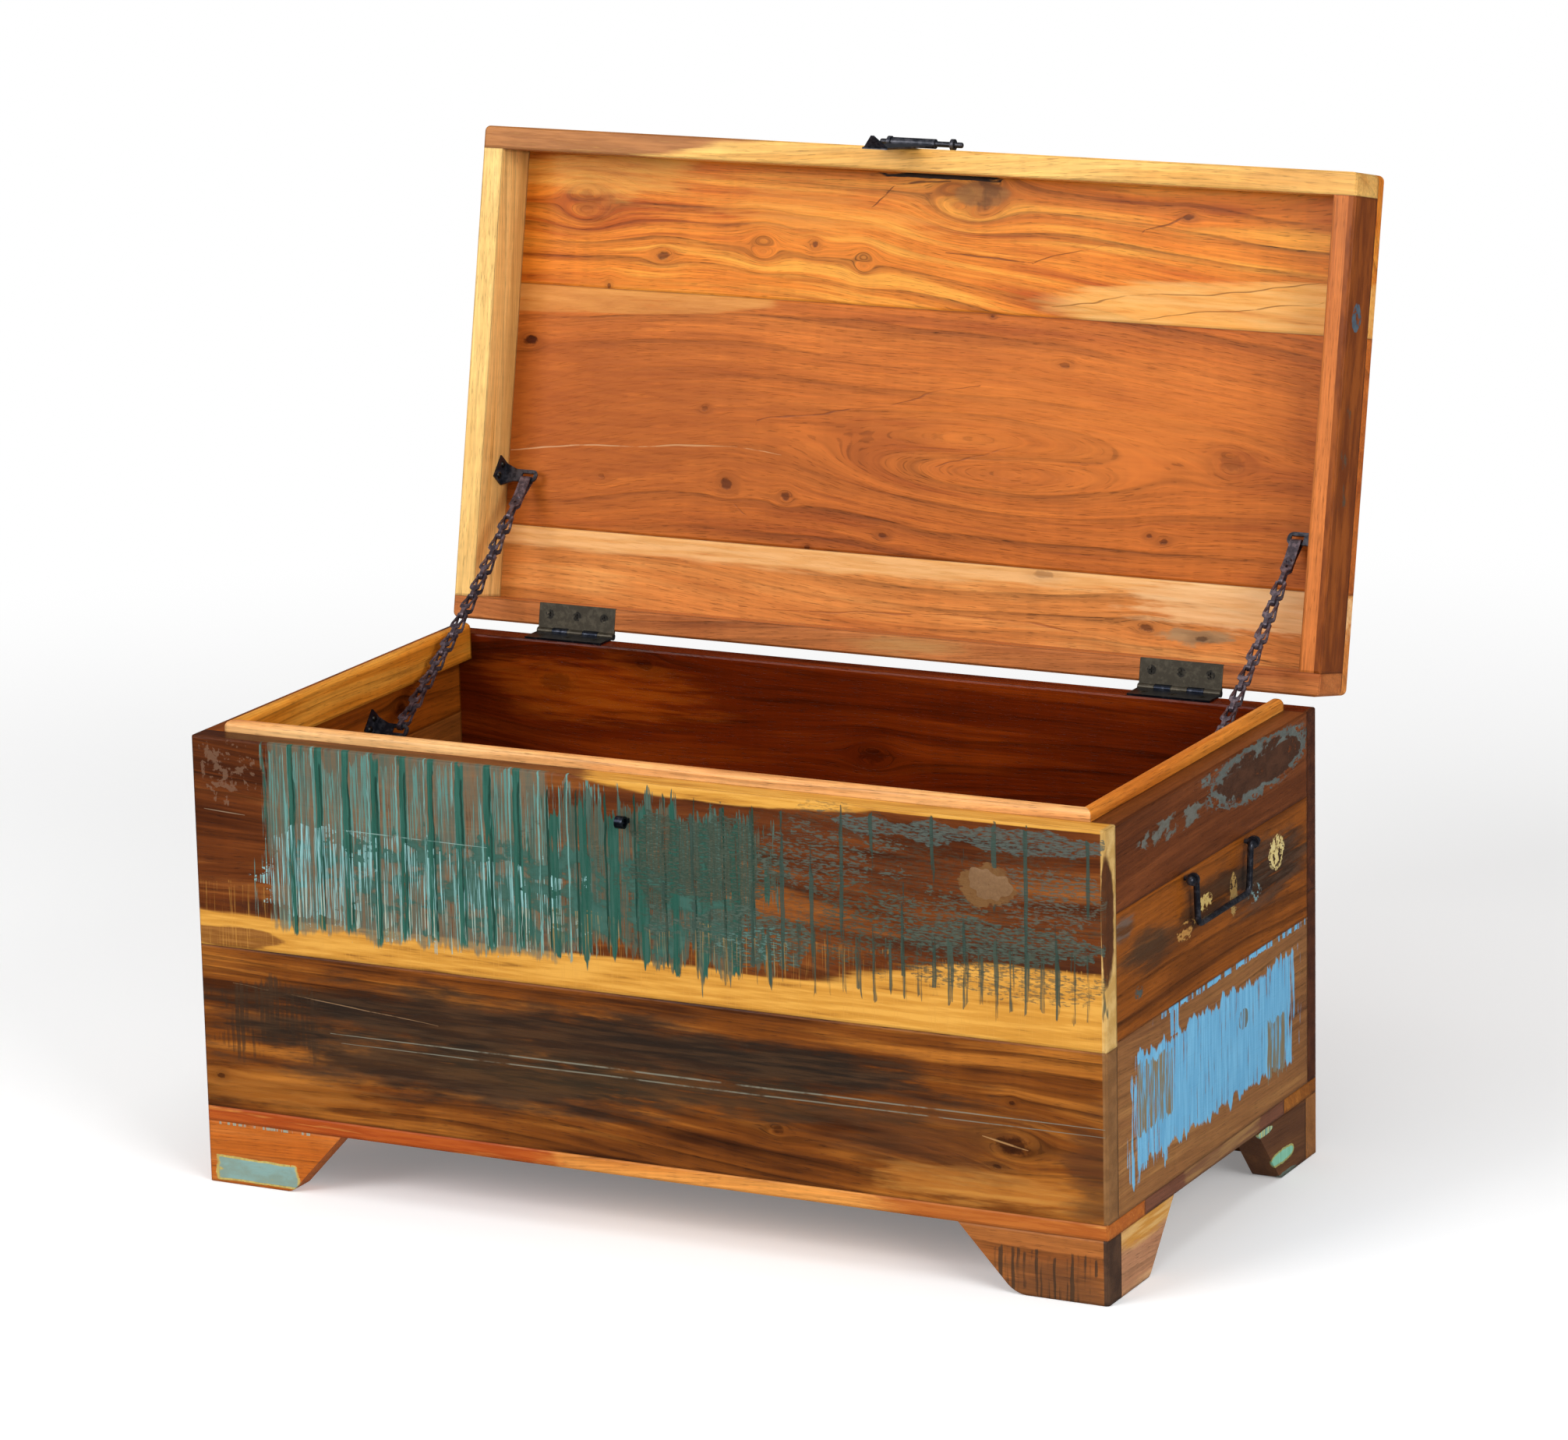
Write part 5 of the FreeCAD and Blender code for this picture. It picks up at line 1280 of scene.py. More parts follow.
@dataclass(frozen=True)
class RightWall(BoardSet):
    """Boards, strip and rear foot of the right side: the place of its face."""

    face: float = SIDE_FACE

    def boards(self) -> List[Board]:
        """Its boards, in the order in which they are dressed."""
        return [self.top(), self.middle(), self.lower(), self.strip(), self.foot(), self.rear()]

    def top(self) -> Board:
        """Top board: dark, with dry grey paint round a brown middle.

        Returns:
            The board.
        """
        p, face = Palette, self.face
        wood = Grain((0.085, 0.022, 0.006), (0.13, 0.034, 0.008), (0.21, 0.058, 0.014), 40.0, 0.03, 0.35,
                     13.0)
        return Board("right_board_top", Plane.SIDE, wood, marks=(
            coat((0.02, 0.352), (0.105, 0.0235), p.SLATE, (0.13, 0.145, 0.13), face, wear=0.44, **Habit.DRY),
            coat((0.025, 0.352), (0.083, 0.0165), (0.062, 0.026, 0.014), (0.09, 0.036, 0.018), face,
                 wear=0.36, form=Form.ROUND, ragged=0.35, tear=Field.FLAKE, brush=Field.FLAKE),
            coat((-0.15, 0.347), (0.075, 0.0105), (0.1, 0.095, 0.075), (0.14, 0.14, 0.12), face, wear=0.5,
                 **Habit.DRY),
            coat((0.0, 0.366), (0.13, 0.007), p.SLATE, (0.13, 0.145, 0.13), face, wear=0.52, **Habit.DRY),
        ))

    def middle(self) -> Board:
        """Middle board: brown, sooty above, with flecks of ochre.

        Returns:
            The board.
        """
        p, face = Palette, self.face
        wood = Grain((0.15, 0.04, 0.004), (0.265, 0.072, 0.006), (0.39, 0.12, 0.013), 55.0, 0.03, 0.5, 17.0)
        return Board("right_board_middle", Plane.SIDE, wood, marks=(
            deep((0.04, 0.264), (0.095, 0.028), p.CHARCOAL, (0.06, 0.04, 0.027), edge=0.4),
            deep((-0.06, 0.27), (0.08, 0.02), p.CHARCOAL, p.SOOT, ragged=0.5, edge=0.45, opacity=0.8),
            deep((-0.195, 0.262), (0.055, 0.019), (0.05, 0.032, 0.018), p.SOOT, ragged=0.4, edge=0.5,
                 opacity=0.85),
            deep((-0.245, 0.29), (0.02, 0.012), p.SLATE, p.SOOT, ragged=0.5, edge=0.4, opacity=0.7),
            coat((-0.088, 0.27), (0.016, 0.0075), (0.48, 0.3, 0.08), p.OCHRE, face, **Habit.FLECK),
            coat((-0.125, 0.257), (0.022, 0.009), (0.48, 0.28, 0.07), (0.42, 0.2, 0.05), face,
                 **{**Habit.FLECK, "wear": 0.52}),
            coat((-0.031, 0.262), (0.008, 0.019), (0.4, 0.25, 0.08), (0.33, 0.2, 0.06), face, **Habit.FLECK),
            coat((0.057, 0.274), (0.017, 0.0145), p.OCHRE, (0.66, 0.55, 0.25), face,
                 **{**Habit.FLECK, "wear": 0.46}),
            coat((0.012, 0.252), (0.016, 0.009), (0.22, 0.36, 0.36), (0.16, 0.26, 0.27), face,
                 **{**Habit.FLECK, "wear": 0.54}),
            coat((-0.217, 0.232), (0.008, 0.006), (0.06, 0.06, 0.05), p.SLATE, face, **Habit.FLECK),
        ))

    def lower(self) -> Board:
        """Lower board: sky blue paint brushed over wood.

        Returns:
            The board.
        """
        p, face = Palette, self.face
        wood = Grain((0.16, 0.062, 0.024), (0.265, 0.112, 0.036), (0.38, 0.18, 0.055), 75.0, 0.03, 0.4, 19.0)
        return Board("right_board_lower", Plane.SIDE, wood, marks=(
            coat((-0.066, 0.138), (0.154, 0.044), p.SKY, p.SKY_LIGHT, face, wear=0.36, ragged=0.22),
            coat((-0.2, 0.128), (0.036, 0.04), p.SKY, p.SKY_LIGHT, face, wear=0.48, ragged=0.5),
            coat((-0.186, 0.146), (0.036, 0.027), (0.17, 0.22, 0.18), (0.26, 0.17, 0.08), face, wear=0.48,
                 ragged=0.35, lift=0.0),
            coat((0.057, 0.113), (0.018, 0.024), (0.16, 0.23, 0.22), (0.23, 0.17, 0.09), face, wear=0.48,
                 ragged=0.4, lift=0.0),
            coat((-0.012, 0.155), (0.01, 0.009), (0.2, 0.14, 0.1), (0.14, 0.16, 0.13), face, wear=0.5,
                 form=Form.ROUND, lift=0.0),
            coat((-0.03, 0.2045), (0.155, 0.0055), p.SKY, p.SKY_LIGHT, face, wear=0.47, brush=Field.STROKE,
                 ragged=0.6),
            coat((-0.15, 0.193), (0.008, 0.014), p.SKY, p.SKY_LIGHT, face, wear=0.4, ragged=0.25),
        ))

    def strip(self) -> Board:
        """Base strip, with one pale length.

        Returns:
            The board.
        """
        wood = Grain((0.13, 0.045, 0.024), (0.185, 0.07, 0.038), (0.23, 0.09, 0.048), 60.0, 0.02, 0.3, 21.0)
        return Board("base_strip_right", Plane.SIDE, wood, marks=(
            deep((-0.056, 0.058), (0.076, 0.05), (0.22, 0.1, 0.045), (0.34, 0.18, 0.065), form=Form.SQUARE,
                 edge=0.06, ragged=0.05, opacity=0.95),
        ))

    def foot(self) -> Board:
        """Side arm of the rear foot, with mint and ochre paint.

        Returns:
            The board.
        """
        p, face = Palette, self.face
        wood = Grain((0.085, 0.032, 0.014), (0.115, 0.045, 0.019), (0.15, 0.06, 0.022), 60.0, 0.02, 0.3, 23.0)
        return Board("foot_back_right_side", Plane.SIDE, wood, marks=(
            coat((0.068, 0.018), (0.026, 0.0065), (0.45, 0.4, 0.12), (0.3, 0.33, 0.12), face, wear=0.36,
                 form=Form.ROUND, ragged=0.15),
            coat((0.068, 0.018), (0.023, 0.0048), p.MINT, (0.26, 0.58, 0.42), face, wear=0.34,
                 form=Form.ROUND, ragged=0.15),
            coat((0.03, 0.0485), (0.017, 0.003), (0.2, 0.48, 0.4), (0.55, 0.5, 0.16), face, wear=0.4,
                 form=Form.ROUND, ragged=0.2),
            coat((0.075, 0.0015), (0.022, 0.0025), (0.16, 0.2, 0.15), p.SLATE, face, wear=0.4,
                 form=Form.ROUND, ragged=0.3),
        ))

    def rear(self) -> Board:
        """Back arm of the rear foot.

        Returns:
            The board.
        """
        wood = Grain((0.2, 0.075, 0.022), (0.3, 0.118, 0.033), (0.36, 0.15, 0.05), 60.0, 0.02, 0.3, 25.0)
        return Board("foot_back_right_long", Plane.FRONT, wood)


@dataclass(frozen=True)
class OtherBoards(BoardSet):
    """Boards that the photograph doesn't show, or shows only from inside.

    Its sizes are the places of their outer faces and ends, and how deep the middle of an end lies.
    """

    left: float = -SIDE_FACE
    back: float = BACK_FACE
    side: float = SIDE_FACE
    end_middle: float = 0.01

    def boards(self) -> List[Board]:
        """Its boards, in the order in which they are dressed."""
        return [*self.back_wall(), *self.left_wall(), *self.plain(), *self.lips()]

    def back_wall(self) -> List[Board]:
        """Two boards of the back wall; both ends of each are darker.

        Returns:
            The boards.
        """
        p, back = Palette, self.back
        maroon = ((0.055, 0.016, 0.007), (0.095, 0.028, 0.01))
        end = {**Habit.END, "face": back - self.end_middle, "ragged": 0.05, "opacity": 0.95}
        wood = Grain((0.14, 0.032, 0.006), (0.22, 0.055, 0.01), (0.33, 0.1, 0.018), 60.0, 0.03, 0.5, 33.0)
        return [
            Board("back_board_upper", Plane.FRONT, Woods.WINE, marks=(
                deep((-0.25, 0.335), (0.1, 0.026), (0.32, 0.05, 0.002), (0.42, 0.085, 0.005), opacity=0.6,
                     edge=0.6),
                coat((0.05, 0.31), (0.26, 0.045), (0.2, 0.29, 0.24), p.TURQUOISE_DULL, back, wear=0.53,
                     brush=Field.FLAKE, ragged=0.4, tear=Field.STREAK),
                *(Mark((side, 0.3), (0.0035, 0.2), *maroon, **end) for side in (self.side, -self.side)),
            ), knots=(Knot(-0.285, 0.338, 0.012, 1.8, 0.5), Knot(0.012, 0.302, 0.008, 2.0, 0.6),
                      Knot(-0.2, 0.358, 0.006, 1.8, 0.6)), roughness=0.26),
            Board("back_board_lower", Plane.FRONT, wood, marks=(
                deep((0.15, 0.15), (0.15, 0.03), p.CHARCOAL, p.SOOT, opacity=0.7, ragged=0.5, edge=0.6),
                coat((-0.22, 0.13), (0.11, 0.04), (0.5, 0.44, 0.3), (0.4, 0.33, 0.2), back, wear=0.55,
                     brush=Field.FLAKE, ragged=0.5, tear=Field.STREAK),
                *(Mark((side, 0.13), (0.0035, 0.2), *maroon, **end) for side in (self.side, -self.side)),
            ), knots=(Knot(0.24, 0.12, 0.008),), roughness=0.32),
        ]

    def left_wall(self) -> List[Board]:
        """Three boards of the left wall.

        Returns:
            The boards.
        """
        p = Palette
        top = Grain((0.16, 0.034, 0.003), (0.28, 0.065, 0.005), (0.4, 0.11, 0.01), 55.0, 0.03, 0.45, 35.0)
        middle = Grain((0.14, 0.04, 0.008), (0.24, 0.07, 0.011), (0.36, 0.12, 0.02), 65.0, 0.03, 0.45,
                       37.0)
        return [
            Board("left_board_top", Plane.SIDE, top, marks=(
                coat((-0.08, 0.34), (0.13, 0.022), (0.1, 0.12, 0.11), p.SLATE, self.left, wear=0.52,
                     brush=Field.FLAKE, ragged=0.4, tear=Field.FLAKE),
            ), knots=(Knot(0.02, 0.33, 0.006),)),
            Board("left_board_middle", Plane.SIDE, middle, marks=(
                deep((-0.16, 0.25), (0.09, 0.03), p.CHARCOAL, p.SOOT, opacity=0.75, edge=0.5, ragged=0.5),
            )),
            Board("left_board_lower", Plane.SIDE, Woods.BROWN, marks=(
                coat((-0.05, 0.135), (0.15, 0.045), p.TURQUOISE_DULL, p.TURQUOISE, self.left, wear=0.46,
                     brush=Field.BRISTLE, ragged=0.2),
            )),
        ]

    @staticmethod
    def plain() -> List[Board]:
        """Strips, bottom and foot without marks.

        Returns:
            The boards.
        """
        return [
            Board("base_strip_left", Plane.SIDE, Woods.ORANGE),
            Board("base_strip_back", Plane.FRONT, Woods.BROWN),
            Board("bottom_panel", Plane.LEVEL, Woods.WINE),
            Board("foot_back_left_long", Plane.FRONT, Woods.BROWN),
            Board("foot_back_left_side", Plane.SIDE, Woods.RED),
        ]

    @staticmethod
    def lips() -> List[Board]:
        """Lip strips round the mouth.

        Returns:
            The boards.
        """
        front = Grain((0.58, 0.19, 0.05), (0.8, 0.38, 0.13), (0.9, 0.53, 0.22), 110.0, 0.01, 0.45, 41.0)
        left = Grain((0.44, 0.13, 0.008), (0.6, 0.2, 0.016), (0.76, 0.33, 0.045), 90.0, 0.02, 0.5, 43.0)
        right = Grain((0.54, 0.15, 0.017), (0.7, 0.235, 0.03), (0.84, 0.38, 0.08), 110.0, 0.01, 0.4, 47.0)
        return [Board("lip_front", Plane.FRONT, front), Board("lip_left", Plane.SIDE, left),
                Board("lip_right", Plane.SIDE, right)]


@dataclass(frozen=True)
class LidBoards(BoardSet):
    """Boards and rails of the lid, measured with the lid shut, where across is the distance to the front."""

    inside: float = LID_INSIDE
    outside: float = LID_OUTSIDE
    side: float = SIDE_FACE

    def boards(self) -> List[Board]:
        """Its boards, in the order in which they are dressed."""
        return [self.front(), self.middle(), self.rear(), self.rail_front(), self.rail_left(),
                self.rail_right(), self.rail_rear()]

    def front(self) -> Board:
        """Front board: orange with a pale band, knots and wandering scratches.

        Returns:
            The board.
        """
        inside, top = self.inside, self.outside
        wood = Grain((0.46, 0.09, 0.006), (0.71, 0.205, 0.018), (0.87, 0.35, 0.045), 52.0, 0.04, 0.62, 53.0,
                     1.45)
        return Board("lid_board_front", Plane.LID, wood, marks=(
            deep((0.4, 0.158), (0.31, 0.036), (0.84, 0.42, 0.1), (0.92, 0.52, 0.16), edge=0.1, ragged=0.1,
                 tear=Field.DRIFT, opacity=0.72),
            deep((-0.3, 0.246), (0.1, 0.022), (0.84, 0.36, 0.06), (0.92, 0.47, 0.09), opacity=0.7),
            deep((-0.1, 0.225), (0.12, 0.022), (0.84, 0.3, 0.035), (0.9, 0.38, 0.06), opacity=0.5),
            deep((-0.315, 0.218), (0.022, 0.016), (0.4, 0.09, 0.01), (0.6, 0.16, 0.018), opacity=0.7,
                 ragged=0.5, tear=Field.BLOT),
            deep((0.05, 0.247), (0.026, 0.011), (0.4, 0.16, 0.035), (0.52, 0.24, 0.06), opacity=0.85,
                 edge=0.2, ragged=0.3, tear=Field.BLOT),
            coat((0.008, 0.26), (0.058, 0.0026), (0.012, 0.007, 0.004), (0.03, 0.015, 0.008), inside,
                 wear=0.44, ragged=0.4, tear=Field.STREAK, brush=Field.STREAK, lift=0.0),
            coat((0.08, 0.2), (0.22, 0.05), (0.2, 0.28, 0.25), (0.3, 0.33, 0.25), top, wear=0.56,
                 brush=Field.FLAKE, ragged=0.5, tear=Field.STREAK),
        ), knots=(Knot(0.03, 0.243, 0.0125, 1.7, 0.3), Knot(0.056, 0.247, 0.0075, 1.9, 0.55),
                  Knot(-0.322, 0.222, 0.013, 1.5, 0.35), Knot(-0.245, 0.184, 0.0045, 1.9),
                  Knot(-0.102, 0.2, 0.0035, 1.2), Knot(-0.295, 0.158, 0.0035, 0.7),
                  Knot(0.236, 0.238, 0.0032, 2.0), Knot(-0.15, 0.195, 0.0075, 1.4, 0.18),
                  Knot(-0.055, 0.19, 0.0065, 1.2, 0.18)), scratches=(
            Scratch((0.02, 0.196), (0.1, 0.193), 0.0011, (0.18, 0.05, 0.012), 0.006, inside),
            Scratch((0.1, 0.193), (0.2, 0.225), 0.001, (0.2, 0.055, 0.012), 0.012, inside),
            Scratch((0.2, 0.225), (0.25, 0.242), 0.0011, (0.18, 0.05, 0.012), 0.008, inside),
            Scratch((0.12, 0.158), (0.36, 0.19), 0.0009, (0.28, 0.11, 0.02), 0.012, inside),
            Scratch((0.2, 0.152), (0.36, 0.176), 0.0008, (0.28, 0.11, 0.02), 0.01, inside),
            Scratch((-0.055, 0.226), (-0.03, 0.252), 0.001, (0.14, 0.04, 0.01), 0.01, inside),
            Scratch((-0.03, 0.252), (0.02, 0.256), 0.0011, (0.1, 0.03, 0.01), 0.006, inside),
        ), roughness=0.4)

    def middle(self) -> Board:
        """Middle board: the reddest, with small knots in rows and both pale and dark scratches.

        Returns:
            The board.
        """
        inside, top = self.inside, self.outside
        wood = Grain((0.37, 0.082, 0.012), (0.51, 0.13, 0.018), (0.64, 0.178, 0.026), 40.0, 0.036, 0.55, 59.0)
        return Board("lid_board_middle", Plane.LID, wood, marks=(
            deep((-0.4, 0.152), (0.3, 0.03), (0.62, 0.24, 0.05), (0.75, 0.33, 0.08), edge=0.05, ragged=0.04,
                 opacity=0.95),
            deep((0.15, 0.07), (0.2, 0.05), (0.64, 0.175, 0.024), (0.7, 0.2, 0.03), opacity=0.5, edge=0.6),
            deep((-0.3, 0.04), (0.2, 0.1), (0.34, 0.078, 0.012), (0.42, 0.105, 0.016), opacity=0.75,
                 edge=0.6),
            coat((-0.1, 0.03), (0.24, 0.08), (0.46, 0.42, 0.32), (0.36, 0.34, 0.27), top, wear=0.54,
                 brush=Field.FLAKE, ragged=0.4, tear=Field.STREAK),
        ), knots=(Knot(0.075, 0.03, 0.026, 4.5, 0.0), Knot(-0.368, 0.093, 0.0048, 1.8, 1.0),
                  Knot(-0.17, 0.002, 0.005, 1.5),
                  Knot(-0.113, -0.001, 0.0042, 1.4), Knot(-0.09, -0.043, 0.0026, 1.4),
                  Knot(-0.02, -0.025, 0.0034, 1.6), Knot(0.222, -0.007, 0.0032, 1.3),
                  Knot(0.235, -0.011, 0.0028, 2.0), Knot(0.135, 0.093, 0.0032, 2.0, 0.6),
                  Knot(0.067, 0.133, 0.0018, 1.4), Knot(0.29, 0.035, 0.005, 3.0, 0.4),
                  Knot(-0.195, 0.044, 0.0024, 1.8, 0.5), Knot(-0.29, -0.004, 0.0026, 1.8, 0.4)), scratches=(
            Scratch((-0.38, 0.005), (-0.262, 0.0155), 0.0011, (0.62, 0.33, 0.16), 0.006, inside),
            Scratch((-0.262, 0.0155), (-0.165, 0.0225), 0.0009, (0.6, 0.3, 0.13), 0.006, inside),
            Scratch((-0.165, 0.0225), (-0.12, 0.019), 0.0008, (0.6, 0.3, 0.13), 0.006, inside),
            Scratch((-0.15, 0.02), (-0.145, 0.046), 0.0008, (0.2, 0.06, 0.02), 0.01, inside),
            Scratch((-0.145, 0.046), (-0.05, 0.062), 0.001, (0.22, 0.06, 0.02), 0.016, inside),
            Scratch((-0.05, 0.062), (0.06, 0.088), 0.0009, (0.26, 0.07, 0.02), 0.016, inside),
            Scratch((-0.18, -0.012), (-0.13, -0.052), 0.001, (0.26, 0.07, 0.02), 0.012, inside),
            Scratch((0.02, 0.018), (0.1, 0.04), 0.0009, (0.26, 0.07, 0.02), 0.012, inside),
        ), roughness=0.4)

    def rear(self) -> Board:
        """Rear board: pale bands along the grain.

        Returns:
            The board.
        """
        inside = self.inside
        wood = Grain((0.46, 0.12, 0.02), (0.63, 0.215, 0.045), (0.78, 0.34, 0.09), 60.0, 0.028, 0.55, 61.0)
        return Board("lid_board_rear", Plane.LID, wood, marks=(
            deep((-0.15, -0.06), (0.5, 0.02), (0.8, 0.4, 0.13), (0.9, 0.5, 0.2), edge=0.15, ragged=0.2,
                 tear=Field.DRIFT, opacity=0.85),
            deep((0.32, -0.075), (0.13, 0.026), (0.8, 0.44, 0.18), (0.9, 0.55, 0.26), edge=0.2, ragged=0.3,
                 opacity=0.8),
            deep((0.268, -0.104), (0.034, 0.007), (0.3, 0.2, 0.1), (0.38, 0.25, 0.12), edge=0.3, ragged=0.5,
                 tear=Field.FLAKE, opacity=0.8),
        ), knots=(Knot(0.225, -0.1, 0.004, 2.0, 0.8), Knot(0.275, -0.105, 0.003, 2.4, 0.8),
                  Knot(0.13, -0.064, 0.0045, 2.6, 0.5)), scratches=(
            Scratch((-0.15, -0.113), (0.04, -0.104), 0.0009, (0.34, 0.1, 0.025), 0.01, inside),
            Scratch((0.04, -0.104), (0.2, -0.11), 0.0009, (0.34, 0.1, 0.025), 0.01, inside),
            Scratch((0.18, -0.085), (0.24, -0.112), 0.001, (0.4, 0.14, 0.04), 0.012, inside),
        ), roughness=0.4)

    def rail_front(self) -> Board:
        """Front rail: pale, brown at its left end.

        Returns:
            The board.
        """
        wood = Grain((0.72, 0.35, 0.075), (0.88, 0.51, 0.14), (0.95, 0.61, 0.19), 70.0, 0.02, 0.3, 67.0)
        return Board("lid_rail_front", Plane.LID, wood, marks=(
            deep((-0.42, 0.28), (0.26, 0.03), (0.33, 0.12, 0.035), (0.46, 0.18, 0.055), edge=0.06,
                 ragged=0.04, opacity=0.97),
            deep((-0.21, 0.286), (0.12, 0.01), (0.33, 0.12, 0.035), (0.46, 0.18, 0.055), edge=0.2,
                 ragged=0.05, opacity=0.97),
            deep((0.36, 0.272), (0.06, 0.012), (0.6, 0.27, 0.07), (0.5, 0.2, 0.05), opacity=0.4, edge=0.5),
        ))

    def rail_left(self) -> Board:
        """Left rail: pale, with a darker inner edge.

        Returns:
            The board.
        """
        wood = Grain((0.68, 0.35, 0.085), (0.86, 0.52, 0.17), (0.95, 0.63, 0.23), 60.0, 0.03, 0.3, 71.0)
        return Board("lid_rail_left", Plane.LID_SIDE, wood, marks=(
            deep((0.07, 0.424), (0.26, 0.02), (0.5, 0.24, 0.06), (0.58, 0.3, 0.08), opacity=0.6, face=-0.381,
                 depth=0.004, edge=0.5),))

    def rail_right(self) -> Board:
        """Right rail, painted brown outside.

        Returns:
            The board.
        """
        wood = Grain((0.46, 0.125, 0.026), (0.58, 0.17, 0.037), (0.66, 0.2, 0.047), 70.0, 0.02, 0.3, 73.0)
        return Board("lid_rail_right", Plane.LID_SIDE, wood, marks=(
            coat((0.07, 0.4), (0.3, 0.06), (0.17, 0.038, 0.006), (0.3, 0.075, 0.01), self.side, wear=0.2,
                 ragged=0.0, brush=Field.STREAK, lift=0.0, edge=0.02, depth=0.006),
            coat((0.165, 0.397), (0.013, 0.01), (0.05, 0.08, 0.11), (0.1, 0.13, 0.16), self.side, wear=0.46,
                 form=Form.ROUND, brush=Field.CRUMB),
            coat((0.045, 0.395), (0.05, 0.01), (0.07, 0.075, 0.06), (0.12, 0.07, 0.04), self.side, wear=0.56,
                 form=Form.ROUND, brush=Field.FLAKE),
        ))

    def rail_rear(self) -> Board:
        """Rear rail, with a pale patch.

        Returns:
            The board.
        """
        wood = Grain((0.36, 0.095, 0.022), (0.47, 0.145, 0.036), (0.62, 0.22, 0.06), 70.0, 0.03, 0.4, 79.0)
        return Board("lid_rail_rear", Plane.LID, wood, marks=(
            deep((0.03, -0.13), (0.05, 0.008), (0.55, 0.3, 0.1), (0.5, 0.24, 0.07), opacity=0.6, edge=0.5),))


@dataclass(frozen=True)
class IronFinish:
    """Iron: base and worn colours, gloss, then dents; coarse, cloud and grit are cells of noise per metre."""

    name: str
    base: Colour
    worn: Colour
    roughness: float
    hammer: float
    hammer_depth: float
    metallic: float = 0.85
    wear: float = 0.62
    coarse: float = 210.0
    cloud: float = 45.0
    grit: float = 1900.0
    grit_depth: float = 0.00005
    gain: float = 4.0
    wear_edge: Pair = (0.14, 0.10)
    gloss: Pair = (0.08, 0.2)

    def build(self) -> Surface:
        """Noise wears the base colour, and coarse cells dent the surface.

        Returns:
            The material.
        """
        finish = Surface(self.name)
        g = finish.graph
        place = finish.place()
        worn = g.noise(g.scaled(place, self.coarse), 4.0, 0.65)
        cloud = g.noise(g.scaled(place, self.cloud), 3.0)
        worn = g.plus(worn, g.times(g.minus(cloud, 0.5), 0.5))
        rub = g.smooth(worn, self.wear - self.wear_edge[0], self.wear + self.wear_edge[1])
        finish.link("Base Color", g.mix(rub, self.base, self.worn))
        finish.link("Roughness", g.plus(self.roughness - self.gloss[0], g.times(cloud, self.gloss[1])))
        finish.settle(Metallic=self.metallic)
        dents = g.noise(g.scaled(place, self.hammer), 1.0)
        grit = g.noise(g.scaled(place, self.grit), 2.0)
        # The gain makes up for noise that keeps to the middle of its range
        finish.relief(g.plus(g.times(dents, self.hammer_depth * self.gain), g.times(grit, self.grit_depth)))
        return finish


class Ironwork:
    """Metal fittings and the finish of each."""

    FORGED = IronFinish("iron_forged", (0.018, 0.020, 0.029), (0.070, 0.070, 0.085), 0.34, 150.0, 0.00010,
                        0.60, 0.56)
    CHAIN = IronFinish("iron_chain", (0.045, 0.032, 0.042), (0.150, 0.105, 0.120), 0.34, 260.0, 0.00010,
                       0.45, 0.56)
    HINGE = IronFinish("iron_hinge", (0.040, 0.032, 0.020), (0.070, 0.058, 0.038), 0.34, 60.0, 0.00002,
                       0.60, 0.58)
    BLUED = IronFinish("iron_blued", (0.010, 0.013, 0.022), (0.050, 0.055, 0.070), 0.30, 90.0, 0.00004)
    SCREW = IronFinish("iron_screw", (0.020, 0.018, 0.015), (0.10, 0.085, 0.06), 0.38, 200.0, 0.00004)

    NODES: Dict[str, IronFinish] = {
        "lock_staple": BLUED, "hasp_eyes": FORGED, "hasp_rod": FORGED, "hasp_plate": FORGED,
        "chain_brackets_box": FORGED, "chain_brackets_lid": FORGED, "hinge_leaves_box": BLUED,
        "hinge_leaves_lid": HINGE, "hinge_pins": BLUED, "screws_box": SCREW, "screws_lid": SCREW,
        "handle_eyes": FORGED, "handle_left": FORGED, "handle_right": FORGED, "chain_straps": CHAIN,
        **dict.fromkeys(["chain_link_%02d" % (number + 1) for number in range(LINKS)], CHAIN),
    }

    def __init__(self, nodes: Dict[str, bpy.types.Object]) -> None:
        """Args: nodes: the frame's CAD nodes by name."""
        self.nodes = nodes

    def dress(self) -> List[str]:
        """Dresses every fitting, and makes each finish once.

        Returns:
            The nodes that are dressed.
        """
        made: Dict[IronFinish, Surface] = {}
        for node, finish in self.NODES.items():
            if finish not in made:
                made[finish] = finish.build()
            made[finish].cover(self.nodes[node])
            LOG.info("dressed %s", node)
        return list(self.NODES)


def disc(name: str, grid: np.ndarray) -> bpy.types.Object:
    """Smooth mesh of rings of points, with quads between neighbours.

    Args:
        name: name of the object.
        grid: points by ring, place round the ring, and axis.

    Returns:
        The object, linked to the scene.
    """
    rings, spokes = grid.shape[:2]
    index = np.arange(rings * spokes).reshape(rings, spokes)
    index = np.hstack([index, index[:, :1]])
    quads = np.stack([index[:-1, :-1], index[:-1, 1:], index[1:, 1:], index[1:, :-1]], -1).reshape(-1, 4)
    mesh = bpy.data.meshes.new(name)
    mesh.from_pydata(grid.reshape(-1, 3).tolist(), [], quads.tolist())
    mesh.polygons.foreach_set("use_smooth", np.ones(len(mesh.polygons), bool))
    piece = bpy.data.objects.new(name, mesh)
    bpy.context.scene.collection.objects.link(piece)
    return piece


